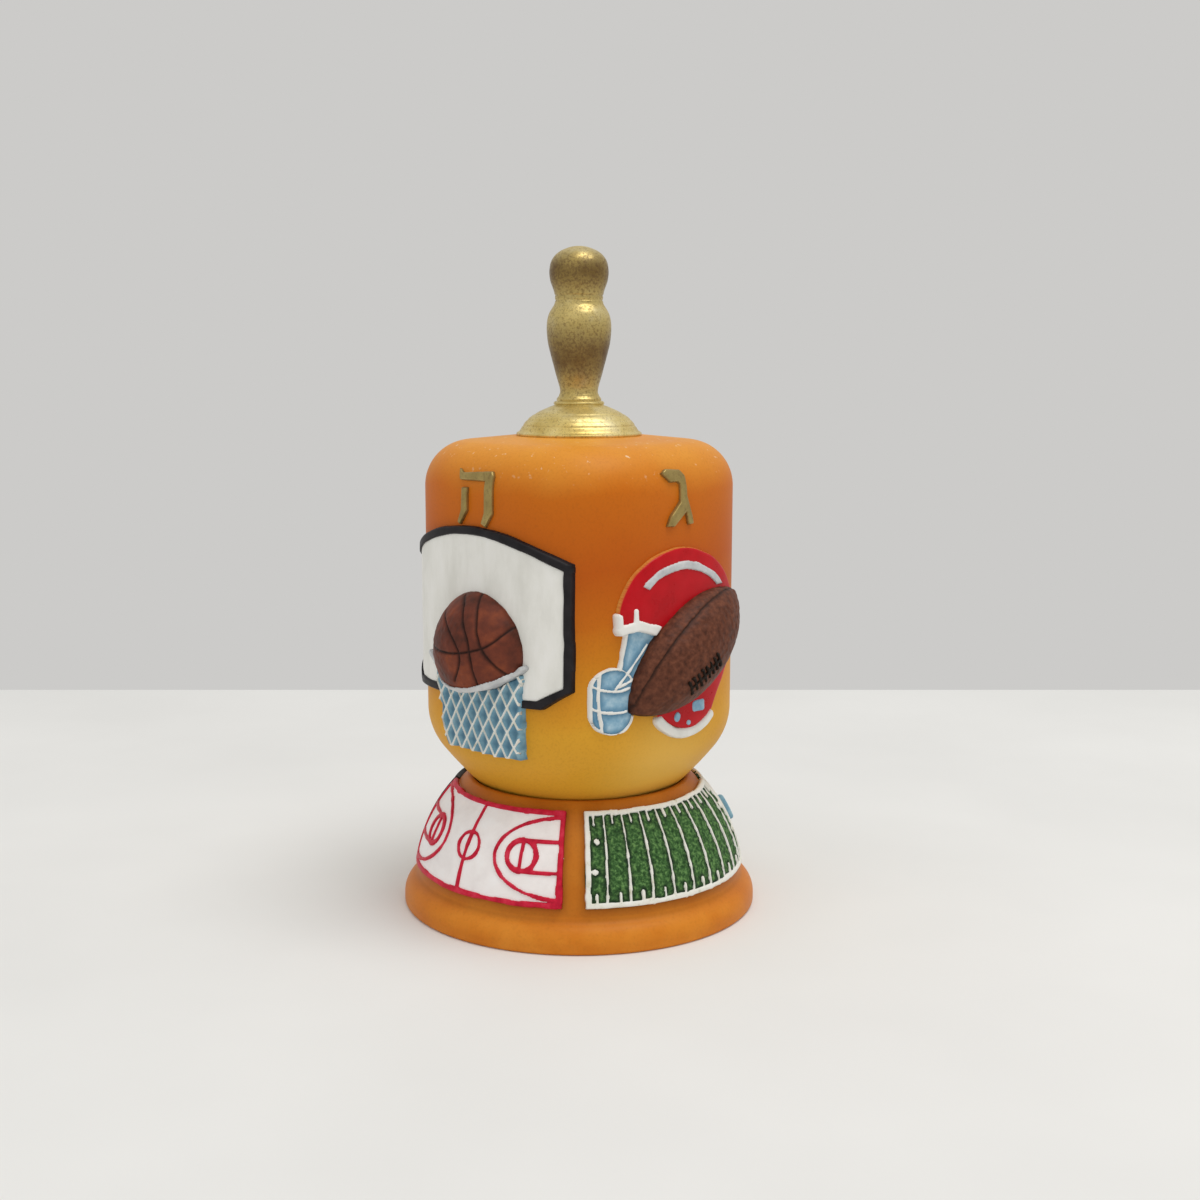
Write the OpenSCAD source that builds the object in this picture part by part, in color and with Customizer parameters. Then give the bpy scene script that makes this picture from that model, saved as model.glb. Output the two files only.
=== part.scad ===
// A four-sided spinning top with a turned stem, standing point down in the cup of a round stand.
// Raised sport motifs sit on its faces, and the stand's dome carries the matching playing fields.
// Millimetres, +Z up, origin at the centre of the stand's underside.

/* [Stand] */
// Diameter of the plinth
plinth_d = 54.5; // [53.6:0.1:60]
// Height of the plinth
plinth_h = 4.3; // [3.6:0.1:5]
// Rounding of the plinth's upper edge
plinth_round = 3; // [1:0.1:3.2]
// Rounding of the plinth's lower edge
foot_round = 0.5; // [0.2:0.1:0.6]
// Diameter of the dome where it meets the plinth
dome_base_d = 50; // [48:0.1:51]
// Radius of the dome's curve
dome_r = 23.6; // [21:0.1:28]
// Height of the cup's rim above the table
stand_h = 19.7; // [18.9:0.1:21]
// Diameter of the cup's mouth
cup_d = 33.8; // [32:0.1:34.4]
// Depth of the cup below its rim
cup_depth = 16.8; // [16:0.1:17.2]
// Width of the flat rim round the cup
lip_w = 0.3; // [0.2:0.05:0.8]

/* [Body] */
// Distance between opposite faces of the body
body_w = 42; // [40:0.5:46]
// Squareness of the body's section, where 2 is round
body_square = 2.85; // [2.6:0.05:3.2]
// Height of the body's upright wall
wall_h = 33.7; // [32:0.1:40]
// Rounding of the shoulder at the corners
shoulder_r = 6.9; // [5:0.1:8]
// Rise of the crowned top from the shoulder to the stem's seat
crown_h = 0.6; // [0.2:0.1:1.5]
// Rounding where the wall turns in below, at the corners
heel_r = 9.5; // [8:0.1:11]
// Lean of the underside from upright where the heel ends
heel_lean = 40; // [37:0.5:43]
// Radius of the long curve of the underside
belly_r = 60; // [54:1:72]
// Radius of the rounded tip
tip_r = 6; // [4:0.1:7.5]
// Level gap between the body's corners and the cup's mouth
seat_gap = 0.42; // [0.3:0.02:0.6]

/* [Stem] */
// Height of the stem above the body
stem_h = 28; // [26.5:0.1:34]
// Diameter of the collar
collar_d = 18.9; // [16.5:0.1:20]
// Height of the collar
collar_h = 4.9; // [4:0.1:5.4]
// Height of the collar's plain edge
collar_edge = 0.5; // [0.3:0.1:0.8]
// Diameter of the waist above the collar
waist_d = 5.7; // [5:0.1:6.4]
// Height of the waist above the body
waist_z = 6.7; // [6.2:0.1:8]
// Largest diameter of the finger grip
grip_d = 9.5; // [8:0.1:11]
// Height of the grip's thickest place above the body
grip_z = 15.3; // [13:0.1:16.5]
// Diameter of the neck below the knob
neck_d = 6.9; // [6:0.1:7.6]
// Height of the neck above the body
neck_z = 20.4; // [19:0.1:21]
// Diameter of the knob
knob_d = 8.7; // [7.8:0.1:10]
// Height of the knob's thickest place above the body
knob_z = 23.6; // [23:0.1:25]
// Diameter of the spigot that seats in the body
spigot_d = 8; // [6:0.1:10]
// Length of the spigot
spigot_l = 7; // [5:0.1:10]
// Radial gap for the glue round the spigot
glue_gap = 0.05; // [0.02:0.01:0.1]

/* [Core pin] */
// Diameter of the core pin
pin_d = 3; // [2.4:0.1:3.6]
// Length of the core pin inside the stem and its spigot
pin_up = 20; // [16:0.1:21]
// Length of the core pin inside the body, below the spigot
pin_down = 26; // [20:0.1:34]
// Radial running gap round the core pin
pin_gap = 0.05; // [0.02:0.01:0.08]
// Gap beyond each end of the core pin
pin_end_gap = 0.1; // [0.05:0.05:0.3]

/* [Motifs] */
// Thickness of the flat motif plates
plate_t = 0.6; // [0.4:0.05:0.9]
// Height of a painted edging above its plate
edging_t = 0.25; // [0.15:0.05:0.4]
// Width of the backboard
board_w = 33.7; // [30:0.1:34.4]
// Height of the backboard's sides
board_side = 18.1; // [15:0.1:18.6]
// Rise of the backboard's top from its corners to its middle
board_rise = 4.5; // [3:0.1:4.8]
// Height of the backboard's lower corners above the foot of the wall
board_low = 6.4; // [5.6:0.1:6.8]
// Width of the backboard's edging
board_edge = 1.4; // [0.9:0.1:1.8]
// Diameter of the basketball
ball_d = 17.2; // [15:0.1:18]
// Height of the basketball above its plate
ball_out = 5.6; // [4:0.1:6]
// Width of the hoop's rim between its ends
hoop_w = 19.4; // [18.4:0.1:20.6]
// Sag of the hoop's rim between its ends
hoop_sag = 3.65; // [3.2:0.05:4.2]
// Thickness of the hoop's rim
hoop_t = 0.9; // [0.7:0.1:1.2]
// Thickness of the net over the body
net_t = 1.3; // [1.2:0.1:1.8]
// Width of a net cord
cord_w = 0.45; // [0.3:0.05:0.6]
// Diameter of the helmet's back
helmet_d = 20.8; // [19.6:0.1:21.4]
// Length of the football
football_l = 27.6; // [25:0.1:28.4]
// Diameter of the football
football_d = 13; // [11.5:0.1:13.6]
// Tilt of the football from level
football_tilt = 35; // [25:1:45]
// Width of the goal
goal_w = 28; // [25:0.1:29]
// Height of the goal
goal_h = 28; // [24:0.1:28.4]
// Diameter of the goal's posts
post_d = 1.8; // [1.4:0.1:2.2]
// Diameter of the soccer ball
soccer_d = 13; // [11:0.1:14]
// Height of the soccer ball above its plate
soccer_out = 4; // [3:0.1:4.6]
// Diameter of the glove's palm
palm_d = 12; // [11:0.1:12.6]
// Diameter of the baseball
baseball_d = 8.4; // [7:0.1:9]
// Length of the bat
bat_l = 27; // [24:0.1:28]
// Largest diameter of the bat
bat_d = 4.6; // [4:0.1:5]

/* [Playing fields] */
// Thickness of a field's plate
field_t = 0.5; // [0.35:0.05:0.7]
// Height of the field lines above their plate
line_t = 0.25; // [0.15:0.05:0.35]
// Width of a field line
line_w = 0.7; // [0.5:0.05:0.8]
// Width of a field's border
border_w = 0.9; // [0.6:0.05:1.2]
// Bare dome between the plinth and a field
field_low = 1.75; // [1:0.05:2.2]
// Bare dome between a field and the cup's rim
field_high = 1.85; // [1.2:0.05:2.4]
// Half the angle that a field covers round the dome
field_half = 43; // [38:0.5:44]
// Angle that the court covers on the left of its middle
court_left = 45; // [40:0.5:45.5]
// Angle that the court covers on the right of its middle
court_right = 39.5; // [36:0.5:43]
// Number of bands between the yard lines
yard_bands = 10; // [8:2:12]

/* [Hidden] */
$fn = 96;

// Numbers of the four faces, counted round the body from the one that looks along -Y
BASKET_FACE = 0;
HELMET_FACE = 1;
GOAL_FACE = 2;
GLOVE_FACE = 3;

// Dome: a circle through the plinth's edge and the rim's outer edge
dome_foot = [dome_base_d / 2, plinth_h];
dome_rim = [cup_d / 2 + lip_w, stand_h];
dome_chord = dome_rim - dome_foot;
dome_side = norm(dome_chord);
dome_drop = sqrt(dome_r ^ 2 - (dome_side / 2) ^ 2);
dome_c = (dome_foot + dome_rim) / 2 + dome_drop * [-dome_chord.y, dome_chord.x] / dome_side;
function lean_of(p) = atan2(p.y - dome_c.y, p.x - dome_c.x);
function dome_deg(arc) = arc / dome_r * 180 / PI;
field_p0 = lean_of(dome_foot) + dome_deg(field_low);
field_p1 = lean_of(dome_rim) - dome_deg(field_high);
field_mid = (field_p0 + field_p1) / 2;
field_ring = dome_c.x + dome_r * cos(field_mid);
function turn_deg(arc) = arc / field_ring * 180 / PI;
// A cone long enough to cut a field out of the dome's skin
dome_far = 2 * dome_r;

// Cup: a ball-shaped hollow
cup_r = ((cup_d / 2) ^ 2 + cup_depth ^ 2) / (2 * cup_depth);
cup_z = stand_h - cup_depth + cup_r;

// Body profile, measured at the corners and seated in the cup's mouth
body_a = body_w / 2;
corner_k = 2 ^ (1 / 2 - 1 / body_square);
corner_r = body_a * corner_k;
heel_in = corner_r - heel_r * (1 - cos(heel_lean));
seat_r = cup_d / 2 - seat_gap;
seat_lean = acos(cos(heel_lean) - (heel_in - seat_r) / belly_r);
wall_z = stand_h + heel_r * sin(heel_lean) + belly_r * (sin(seat_lean) - sin(heel_lean));
wall_top = wall_z + wall_h;
tip_lean = acos((belly_r * cos(heel_lean) - heel_in) / (belly_r - tip_r));
tip_join_z = wall_z - heel_r * sin(heel_lean) - belly_r * (sin(tip_lean) - sin(heel_lean));
tip_z = tip_join_z - tip_r * (1 - sin(tip_lean));
shoulder_end = 85;
shoulder_z = wall_top + shoulder_r * sin(shoulder_end);
body_top = shoulder_z + crown_h;
seat_rim = 0.8;

// Rings of the body from the tip upwards, each [corner radius, height]
ring_sides = 64;
tip_steps = 3;
belly_steps = 8;
heel_steps = 7;
shoulder_steps = 8;
tip_rings = [for (i = [1:tip_steps])
  let (q = (90 - tip_lean) * i / tip_steps)
  [tip_r * sin(q), tip_z + tip_r * (1 - cos(q))]];
belly_rings = [for (i = [1:belly_steps])
  let (q = tip_lean + (heel_lean - tip_lean) * i / belly_steps)
  [heel_in - belly_r * (cos(heel_lean) - cos(q)),
   wall_z - heel_r * sin(heel_lean) - belly_r * (sin(q) - sin(heel_lean))]];
heel_rings = [for (i = [1:heel_steps])
  let (q = heel_lean * (1 - i / heel_steps))
  [corner_r - heel_r * (1 - cos(q)), wall_z - heel_r * sin(q)]];
shoulder_rings = [for (i = [0:shoulder_steps])
  let (q = shoulder_end * i / shoulder_steps)
  [corner_r - shoulder_r * (1 - cos(q)), wall_top + shoulder_r * sin(q)]];
seat_ring = [[collar_d / 2 + seat_rim, body_top]];
body_rings = concat(tip_rings, belly_rings, heel_rings, shoulder_rings, seat_ring);

// Squareness fades from the wall to a round tip, and the stem's seat is round
function fade(t) = t * t * (3 - 2 * t);
function square_at(z) = z >= body_top ? 2
  : 2 + (body_square - 2) * fade(min(1, (z - tip_z) / (wall_z - tip_z)));
function section(corner, square) =
  let (a = corner * 2 ^ (1 / square - 1 / 2))
  [for (i = [0:ring_sides - 1])
    let (q = 360 * i / ring_sides, c = abs(cos(q)), s = abs(sin(q)))
    a / (c ^ square + s ^ square) ^ (1 / square) * [cos(q), sin(q)]];

// Reach of a cut that goes outwards from the axis through a face
reach = body_w;
// Depth below the wall's foot that the motifs may reach
wall_below = 6;

// Basketball face, in [across, above the wall's foot]
board_top = board_low + board_side;
board_mid = -0.7;
board_foot = 2.7;
board_foot_w = 0.78;
board_edge_side = 0.65;
board_top_r = ((board_w / 2) ^ 2 + board_rise ^ 2) / (2 * board_rise);
ball_at = [1.1, 11.1];
ball_r = ((ball_d / 2) ^ 2 + ball_out ^ 2) / (2 * ball_out);
hoop_r = ((hoop_w / 2) ^ 2 + hoop_sag ^ 2) / (2 * hoop_sag);
hoop_drop = 5.2;
hoop_shift = -0.6;
hoop_at = ball_at + [hoop_shift, hoop_r - hoop_drop];
hoop_half = asin(hoop_w / 2 / hoop_r);
hoop_out = 1.2;
hoop_over = 0.3;
net_foot = -3.9;
net_lean = 58;
net_pitch = 2;
net_under = 1.4;
net_top = ball_at.y - net_under;
net_corners = [[-9.1, net_top], [-5.6, net_foot], [9.4, net_foot], [10, net_top]];

// Helmet face
helmet_at = [2.9, 14.3];
helmet_r = helmet_d / 2;
front_at = helmet_at + [-7.6, 4];
front_r = 7.2;
face_corners = [[-20, 15.6], [-9.2, 15.4], [-5.4, 14.3], [-5.6, 8], [-5.6, -2], [-20, -2]];
jaw_corners = [[-5.6, 14], [-5.6, 1.6], [-4, 0], [0, -1], [5, -0.5], [6.7, 1.4], [8, 3.6], [12.5, 9.4],
  helmet_at + [helmet_r, 0]];
brow_line = [[-11.6, 15.2], [-9.2, 15.5], [-5.4, 14.4]];
brow_w = 1.7;
clips = [[[-11.8, 16.9], [-11.3, 14.6]], [[-9.7, 17.7], [-9.6, 15]]];
clip_w = 0.95;
opening_corners = [[-10.8, 15.3], [-5, 14.4], [-5, 7], [-12, 6.5], [-11.5, 10]];
ear_at = [2.9, 2.45];
ear_size = [2.9, 1.9];
ear_dots = [[-1.7, 1.4, 0.75], [0.8, 0.25, 0.5]];
football_at = [0.6, 10.9];
football_bow = 2.2;
football_end = 0.75;
football_inset = 0.5;
roll_at = [1, 7];
roll_r = 9.2;
roll_w = 1.7;
roll_from = -137;
roll_to = -51;
mask_at = [-12.7, 4.9];
mask_r = 3.2;
mask_half = 1.85;
bar_w = 0.8;
mask_bars = [[[-3.2, 2.7], [-1.2, 1.9]], [[-1.2, 1.9], [3.2, 2]], [[-3.2, -0.6], [-1.2, -1.1]],
  [[-1.2, -1.1], [3.2, -1.2]], [[-1.7, 5.1], [-1.9, -0.4]], [[-1.9, -0.4], [-1.4, -5.1]]];
mask_stays = [[[-7.4, 12.7], [-12.3, 6.8]], [[-7.6, 8.7], [-11.9, 7]], [[-10.7, 14.8], [-11.7, 9.4]]];
stripe_w = 1.4;
stripe_in = 1.9;
stripe_from = 30;
stripe_to = 150;
lace_count = 7;
lace_pitch = 1.05;
lace_l = 2.6;
lace_w = 0.5;
lace_t = 0.45;
lace_side = -3.2;

// Goal face
goal_low = 0.5;
goal_pitch = 2.6;
soccer_sink = 1.2;
soccer_at = [2.5, goal_low + soccer_d / 2 - soccer_sink];
soccer_r = ((soccer_d / 2) ^ 2 + soccer_out ^ 2) / (2 * soccer_out);
patch_r = 2.1;
patch_t = 0.2;
patch_ring = 5.4;
patch_out = 0.8;

// Glove face
palm_at = [0.8, 9.6];
finger_d = 3.7;
finger_gap = 0.25;
finger_l = 9;
finger_tilt = -14;
finger_turn = -4;
thumb_turn = -62;
thumb_share = 0.85;
wrist = [0.62 * palm_d, 0.36 * palm_d];
web_at = palm_at + [0.36 * palm_d, 0.44 * palm_d];
web_turn = -32;
web_size = [3, 4.4];
baseball_at = palm_at + [-0.4, 0.8];
baseball_out = 3.2;
baseball_r = ((baseball_d / 2) ^ 2 + baseball_out ^ 2) / (2 * baseball_out);
bat_at = [-14.2, 14];
bat_depth = 18.6;
bat_grip_d = 2.2;
bat_knob_d = 3.2;
bat_knob_h = 0.8;
bat_knob_end = 1.4;
bat_swell_from = 0.3;
bat_swell_to = 0.75;

module body_form() {
  n = len(body_rings);
  points = concat(
    [[0, 0, tip_z]],
    [for (r = body_rings) for (p = section(r[0], square_at(r[1]))) [p.x, p.y, r[1]]]);
  function at(ring, i) = 1 + ring * ring_sides + i % ring_sides;
  faces = concat(
    [for (i = [0:ring_sides - 1]) [0, at(0, i), at(0, i + 1)]],
    [for (k = [0:n - 2]) for (i = [0:ring_sides - 1]) each
      [[at(k, i), at(k + 1, i), at(k + 1, i + 1)], [at(k, i), at(k + 1, i + 1), at(k, i + 1)]]],
    [[for (i = [ring_sides - 1:-1:0]) at(n - 1, i)]]);
  polyhedron(points, faces, convexity = 4);
}

// The upright wall grown outwards by t at the middle of each face
module wall_prism(t) {
  translate([0, 0, wall_z - wall_below])
    linear_extrude(wall_below + wall_h)
      polygon(section((body_a + t) * corner_k, body_square));
}

// A drawing carried outwards through a face
module on_face(face) {
  rotate([0, 0, 90 * face]) translate([0, 0, wall_z]) rotate([90, 0, 0])
    linear_extrude(reach) children();
}

// A drawing raised on a face, between two heights above the wall
module relief(face, t0, t1) {
  intersection() {
    on_face(face) children();
    difference() {
      wall_prism(t1);
      wall_prism(t0);
    }
  }
}

// A ball cap on a face: its middle at [across, up], its ball radius and its height above the wall
module ball_cap(face, at, r, out) {
  rotate([0, 0, 90 * face])
    translate([at.x, r - body_a - out, wall_z + at.y])
      sphere(r);
}

module ring2d(r, w) {
  difference() {
    circle(r + w / 2);
    circle(r - w / 2);
  }
}

// A bar along several points, lapped at its bends
bar_lap = 0.25;

module bent_bar(points, w) {
  for (i = [0:len(points) - 2]) {
    d = points[i + 1] - points[i];
    translate(points[i]) rotate(atan2(d.y, d.x)) translate([-bar_lap * w, -w / 2])
      square([norm(d) + 2 * bar_lap * w, w]);
  }
}

module slice2d(from, to, far) {
  polygon([[0, 0], far * [cos(from), sin(from)], far * [cos(to), sin(to)]]);
}

// A patch of the dome's skin between two heights, two leans and two turns
module dome_patch(t0, t1, p0, p1, a0, a1) {
  rotate([0, 0, a0]) rotate_extrude(angle = a1 - a0) intersection() {
    translate(dome_c) difference() {
      circle(dome_r + t1);
      circle(dome_r + t0);
    }
    translate(dome_c) slice2d(p0, p1, dome_far);
  }
}

// A plate bedded on the dome
field_bed = 0.3;

module field_plate(left, right, inset = 0, t = field_t) {
  difference() {
    dome_patch(-field_bed, t, field_p0 + dome_deg(inset), field_p1 - dome_deg(inset),
      -left + turn_deg(inset), right - turn_deg(inset));
    stand_form();
  }
}

// Lines of a field are drawn flat, in [round the dome, up the dome] arc lengths from the field's middle,
// and then carried along the middle's own normal through the skin above the plate
function line(from, to, steps) = [for (i = [0:steps]) from + (to - from) * i / steps];
function arc(c, r, from, to, steps) = [for (q = line(from, to, steps)) c + r * [cos(q), sin(q)]];
function left_of(c, i) =
  let (d = c[min(i + 1, len(c) - 1)] - c[max(i - 1, 0)])
  [-d.y, d.x] / norm(d);
function strip(c, w) = concat(
  [for (i = [0:len(c) - 1]) c[i] + left_of(c, i) * w / 2],
  [for (i = [len(c) - 1:-1:0]) c[i] - left_of(c, i) * w / 2]);
function laid(q) =
  let (turn = turn_deg(q.x), lean = field_mid + dome_deg(q.y), ring = dome_c.x + dome_r * cos(lean))
  [(ring * cos(turn) - dome_c.x) * sin(field_mid) - dome_r * sin(lean) * cos(field_mid), ring * sin(turn)];

module mark(curve, w = line_w) {
  polygon([for (q = strip(curve, w)) laid(q)]);
}

module dome_drill(turn, lean) {
  rotate([0, 0, turn]) translate([dome_c.x, 0, dome_c.y]) rotate([0, 90 - lean, 0])
    translate([0, 0, dome_r / 2]) linear_extrude(dome_r) children();
}

module field_marks(left, right, t0 = field_t, t1 = field_t + line_t) {
  intersection() {
    dome_patch(t0, t1, field_p0, field_p1, -left, right);
    dome_drill(0, field_mid) children();
  }
}

// Size of a field laid flat: half its length round the dome, and half its height
function laid_half(half) = half / turn_deg(1);
field_up = (field_p1 - field_p0) / 2 / dome_deg(1);
curve_steps = 8;

module border_marks(left, right) {
  x0 = -laid_half(left);
  x1 = laid_half(right);
  for (s = [-1, 1])
    mark(line([x0 - border_w, s * field_up], [x1 + border_w, s * field_up], 2 * curve_steps), 2 * border_w);
  for (x = [x0, x1])
    mark(line([x, -field_up - border_w], [x, field_up + border_w], curve_steps), 2 * border_w);
}

module on_stand(face) {
  rotate([0, 0, 90 * face - 90]) children();
}

// Stand

module plinth_profile() {
  r = plinth_d / 2;
  difference() {
    union() {
      square([r - plinth_round, plinth_h]);
      square([r, plinth_h - plinth_round]);
      translate([r - plinth_round, plinth_h - plinth_round]) circle(plinth_round);
    }
    translate([0, -plinth_h]) square([r, plinth_h]);
    difference() {
      translate([r - foot_round, 0]) square(foot_round);
      translate([r - foot_round, foot_round]) circle(foot_round);
    }
  }
}

module dome_profile() {
  intersection() {
    translate(dome_c) circle(dome_r);
    square([plinth_d, stand_h]);
  }
}

module stand_form() {
  rotate_extrude() difference() {
    union() {
      plinth_profile();
      dome_profile();
    }
    translate([0, cup_z]) circle(cup_r);
  }
}

module stand() {
  color("#c67832") stand_form();
}

module court_board() {
  color("#f2efe8") on_stand(BASKET_FACE) field_plate(court_left, court_right);
}

// Half court: the three-point line, and the key with its circle
court_arc = [10.3, 5.85];
key_r = 2.2;
key_in = 6.1;
key_w = 0.95;
centre_r = 2;

module half_court(x, end) {
  key_x = x - key_in;
  mark([for (q = line(90, -90, 2 * curve_steps)) [x - court_arc.x * cos(q), court_arc.y * sin(q)]]);
  for (s = [-1, 1]) {
    mark(line([end, s * court_arc.y], [x, s * court_arc.y], curve_steps));
    mark(line([end, s * key_r], [key_x, s * key_r], curve_steps));
  }
  ring_mark([key_x, 0], key_r, key_w);
  mark(line([key_x, -key_r], [key_x, key_r], curve_steps));
}

// A ring, as two halves that overlap at their ends
ring_lap = 4;

module ring_mark(c, r, w = line_w) {
  for (from = [0, 180]) mark(arc(c, r, from - ring_lap, from + 180 + ring_lap, 2 * curve_steps), w);
}

module court_lines() {
  color("#c8203a") on_stand(BASKET_FACE) field_marks(court_left, court_right) {
    border_marks(court_left, court_right);
    mark(line([0, -field_up], [0, field_up], curve_steps));
    ring_mark([0, 0], centre_r);
    half_court(laid_half(court_right), laid_half(court_right) + border_w);
    mirror([0, 1]) half_court(laid_half(court_right), laid_half(court_left));
  }
}

module field_turf() {
  color("#2f5a30") on_stand(HELMET_FACE) field_plate(field_half, field_half);
}

hash_l = 1.3;
post_dot = 1.1;
post_dot_up = 2.1;
yard_sway = 1;

module field_lines() {
  x = laid_half(field_half);
  function yard_at(i) = (2 * i / yard_bands - 1) * x - yard_sway * sin(180 * i / yard_bands);
  color("#f2efe8") on_stand(HELMET_FACE) field_marks(field_half, field_half) {
    border_marks(field_half, field_half);
    for (i = [1:yard_bands - 1], at = yard_at(i))
      mark(line([at, -field_up], [at, field_up], curve_steps));
    for (i = [1:yard_bands], at = yard_at(i - 0.5), s = [-1, 1])
      mark(line([at, s * field_up], [at, s * (field_up - border_w - hash_l)], 2));
    for (end = [-1, 1], s = [-1, 1])
      mark([[end * x, s * post_dot_up], [end * (x - border_w - post_dot), s * post_dot_up]], post_dot);
  }
}

module pitch_turf() {
  color("#3f7d3a") on_stand(GOAL_FACE) field_plate(field_half, field_half);
}

box_in = 6;
box_up = 4.4;
pitch_circle_r = 2.8;

// A raised goal at each end of the pitch
pitch_goal = [1.6, 4];
pitch_goal_up = 1.6;
pitch_goal_t = 0.9;

module goal_blocks(t0, t1) {
  from = field_half - turn_deg(border_w);
  low = field_mid + dome_deg(pitch_goal_up - pitch_goal.y / 2);
  high = field_mid + dome_deg(pitch_goal_up + pitch_goal.y / 2);
  dome_patch(t0, t1, low, high, -from, -from + turn_deg(pitch_goal.x));
  dome_patch(t0, t1, low, high, from - turn_deg(pitch_goal.x), from);
}

module pitch_lines() {
  x = laid_half(field_half);
  color("#f2efe8") on_stand(GOAL_FACE) difference() {
    field_marks(field_half, field_half) {
      border_marks(field_half, field_half);
      mark(line([0, -field_up], [0, field_up], curve_steps));
      ring_mark([0, 0], pitch_circle_r);
      for (end = [-1, 1]) {
        for (s = [-1, 1])
          mark(line([end * x, s * box_up], [end * (x - box_in), s * box_up], 4));
        mark(line([end * (x - box_in), -box_up - line_w / 2], [end * (x - box_in), box_up + line_w / 2], 4));
      }
    }
    goal_blocks(0, field_t + pitch_goal_t);
  }
}

module pitch_goals() {
  color("#6f9fc0") on_stand(GOAL_FACE) goal_blocks(field_t, field_t + pitch_goal_t);
}

module diamond_turf() {
  color("#3f7d3a") on_stand(GLOVE_FACE) field_plate(field_half, field_half, border_w);
}

module diamond_border() {
  color("#22201f") on_stand(GLOVE_FACE) difference() {
    field_plate(field_half, field_half, 0, field_t + line_t);
    dome_patch(-2 * field_bed, 2 * field_t + line_t,
      field_p0 + dome_deg(border_w), field_p1 - dome_deg(border_w),
      -field_half + turn_deg(border_w), field_half - turn_deg(border_w));
  }
}

// The infield's corners stay this far inside the border
diamond_gap = 0.3;
diamond_side = sqrt(2) * (dome_r * sin(dome_deg(field_up - border_w)) - diamond_gap);
base_w = 1.2;

module diamond_infield() {
  color("#b98a52") on_stand(GLOVE_FACE) field_marks(field_half, field_half, field_t, field_t + line_t / 2)
    rotate(45) square(diamond_side, center = true);
}

module diamond_lines() {
  s = (diamond_side - base_w) / 2;
  color("#f2efe8") on_stand(GLOVE_FACE)
    field_marks(field_half, field_half, field_t + line_t / 2, field_t + line_t)
    rotate(45) {
      difference() {
        square(diamond_side, center = true);
        square(diamond_side - line_w, center = true);
      }
      for (x = [-s, s], y = [-s, s]) translate([x, y]) square(base_w, center = true);
    }
}

// Body, stem and core pin

module core_pin() {
  color("#8d9196") translate([0, 0, body_top - spigot_l - pin_down])
    cylinder(d = pin_d, h = pin_down + pin_up);
}

module pin_bore() {
  translate([0, 0, body_top - spigot_l - pin_down - pin_end_gap])
    cylinder(r = pin_d / 2 + pin_gap, h = pin_down + pin_up + 2 * pin_end_gap);
}

module dreidel_body() {
  color("#c0702a") difference() {
    body_form();
    translate([0, 0, body_top - spigot_l])
      cylinder(r = spigot_d / 2 + glue_gap, h = spigot_l + crown_h);
    pin_bore();
  }
}

stem_steps = 12;
collar_bow = 1.6;
knob_bow = 2.6;
knob_low = 0.86;
grip_bow = 1.35;

module collar_profile() {
  r = collar_d / 2 - collar_edge / 2;
  h = collar_h - collar_edge;
  square([collar_d / 2, collar_edge]);
  polygon(concat([[0, collar_h], [0, 0]], [for (i = [0:stem_steps - 1])
    let (t = i / stem_steps) [r * sqrt(1 - t ^ collar_bow), collar_edge + h * t]]));
}

module shaft_profile() {
  rise = [for (i = [0:stem_steps]) let (t = i / stem_steps)
    [(waist_d + (grip_d - waist_d) * sin(90 * t) ^ grip_bow) / 2, waist_z + (grip_z - waist_z) * t]];
  fall = [for (i = [1:stem_steps]) let (t = i / stem_steps)
    [(grip_d + (neck_d - grip_d) * fade(t)) / 2, grip_z + (neck_z - grip_z) * t]];
  polygon(concat([[0, 0], [waist_d / 2, 0]], rise, fall, [[neck_d / 2, knob_z], [0, knob_z]]));
}

module knob_profile() {
  up = stem_h - knob_z;
  down = (knob_z - neck_z) * knob_low;
  polygon(concat([[0, knob_z - down], [neck_d / 2, knob_z - down]],
    [for (i = [1:stem_steps]) let (q = 90 * i / stem_steps)
      [(neck_d + (knob_d - neck_d) * sin(q)) / 2, knob_z - down * cos(q)]],
    [for (i = [1:stem_steps]) let (q = 90 * i / stem_steps)
      [knob_d / 2 * cos(q) ^ (2 / knob_bow), knob_z + up * sin(q) ^ (2 / knob_bow)]]));
}

// Two beads at the foot of the shaft, the upper one smaller
bead_r = 0.5;
bead_out = 0.2;
bead_rise = 0.3;
bead_gap = 0.85;
bead_shrink = 0.1;
bead_step_in = 0.25;

module bead_profile() {
  for (i = [0, 1])
    translate([waist_d / 2 + bead_out - bead_step_in * i, collar_h + bead_rise + bead_gap * i])
      circle(bead_r - bead_shrink * i);
}

module stem() {
  color("#a98c3c") difference() {
    translate([0, 0, body_top]) {
      rotate_extrude() {
        collar_profile();
        shaft_profile();
        knob_profile();
        bead_profile();
      }
      translate([0, 0, -spigot_l]) cylinder(d = spigot_d, h = spigot_l);
    }
    pin_bore();
  }
}

// Basketball face

module board_outline(inset) {
  w = board_w / 2 - inset * board_edge_side;
  translate([board_mid, 0]) intersection() {
    polygon([[-w, board_low + inset / 2], [-w * board_foot_w, board_low - board_foot + inset],
      [w * board_foot_w, board_low - board_foot + inset], [w, board_low + inset / 2],
      [w, board_top + board_rise], [-w, board_top + board_rise]]);
    translate([0, board_top + board_rise - board_top_r]) circle(board_top_r - inset);
  }
}

module backboard() {
  color("#f2efe8") relief(BASKET_FACE, 0, plate_t) board_outline(board_edge);
}

module backboard_trim() {
  color("#22201f") relief(BASKET_FACE, 0, plate_t + edging_t) difference() {
    board_outline(0);
    board_outline(board_edge);
  }
}

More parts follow.
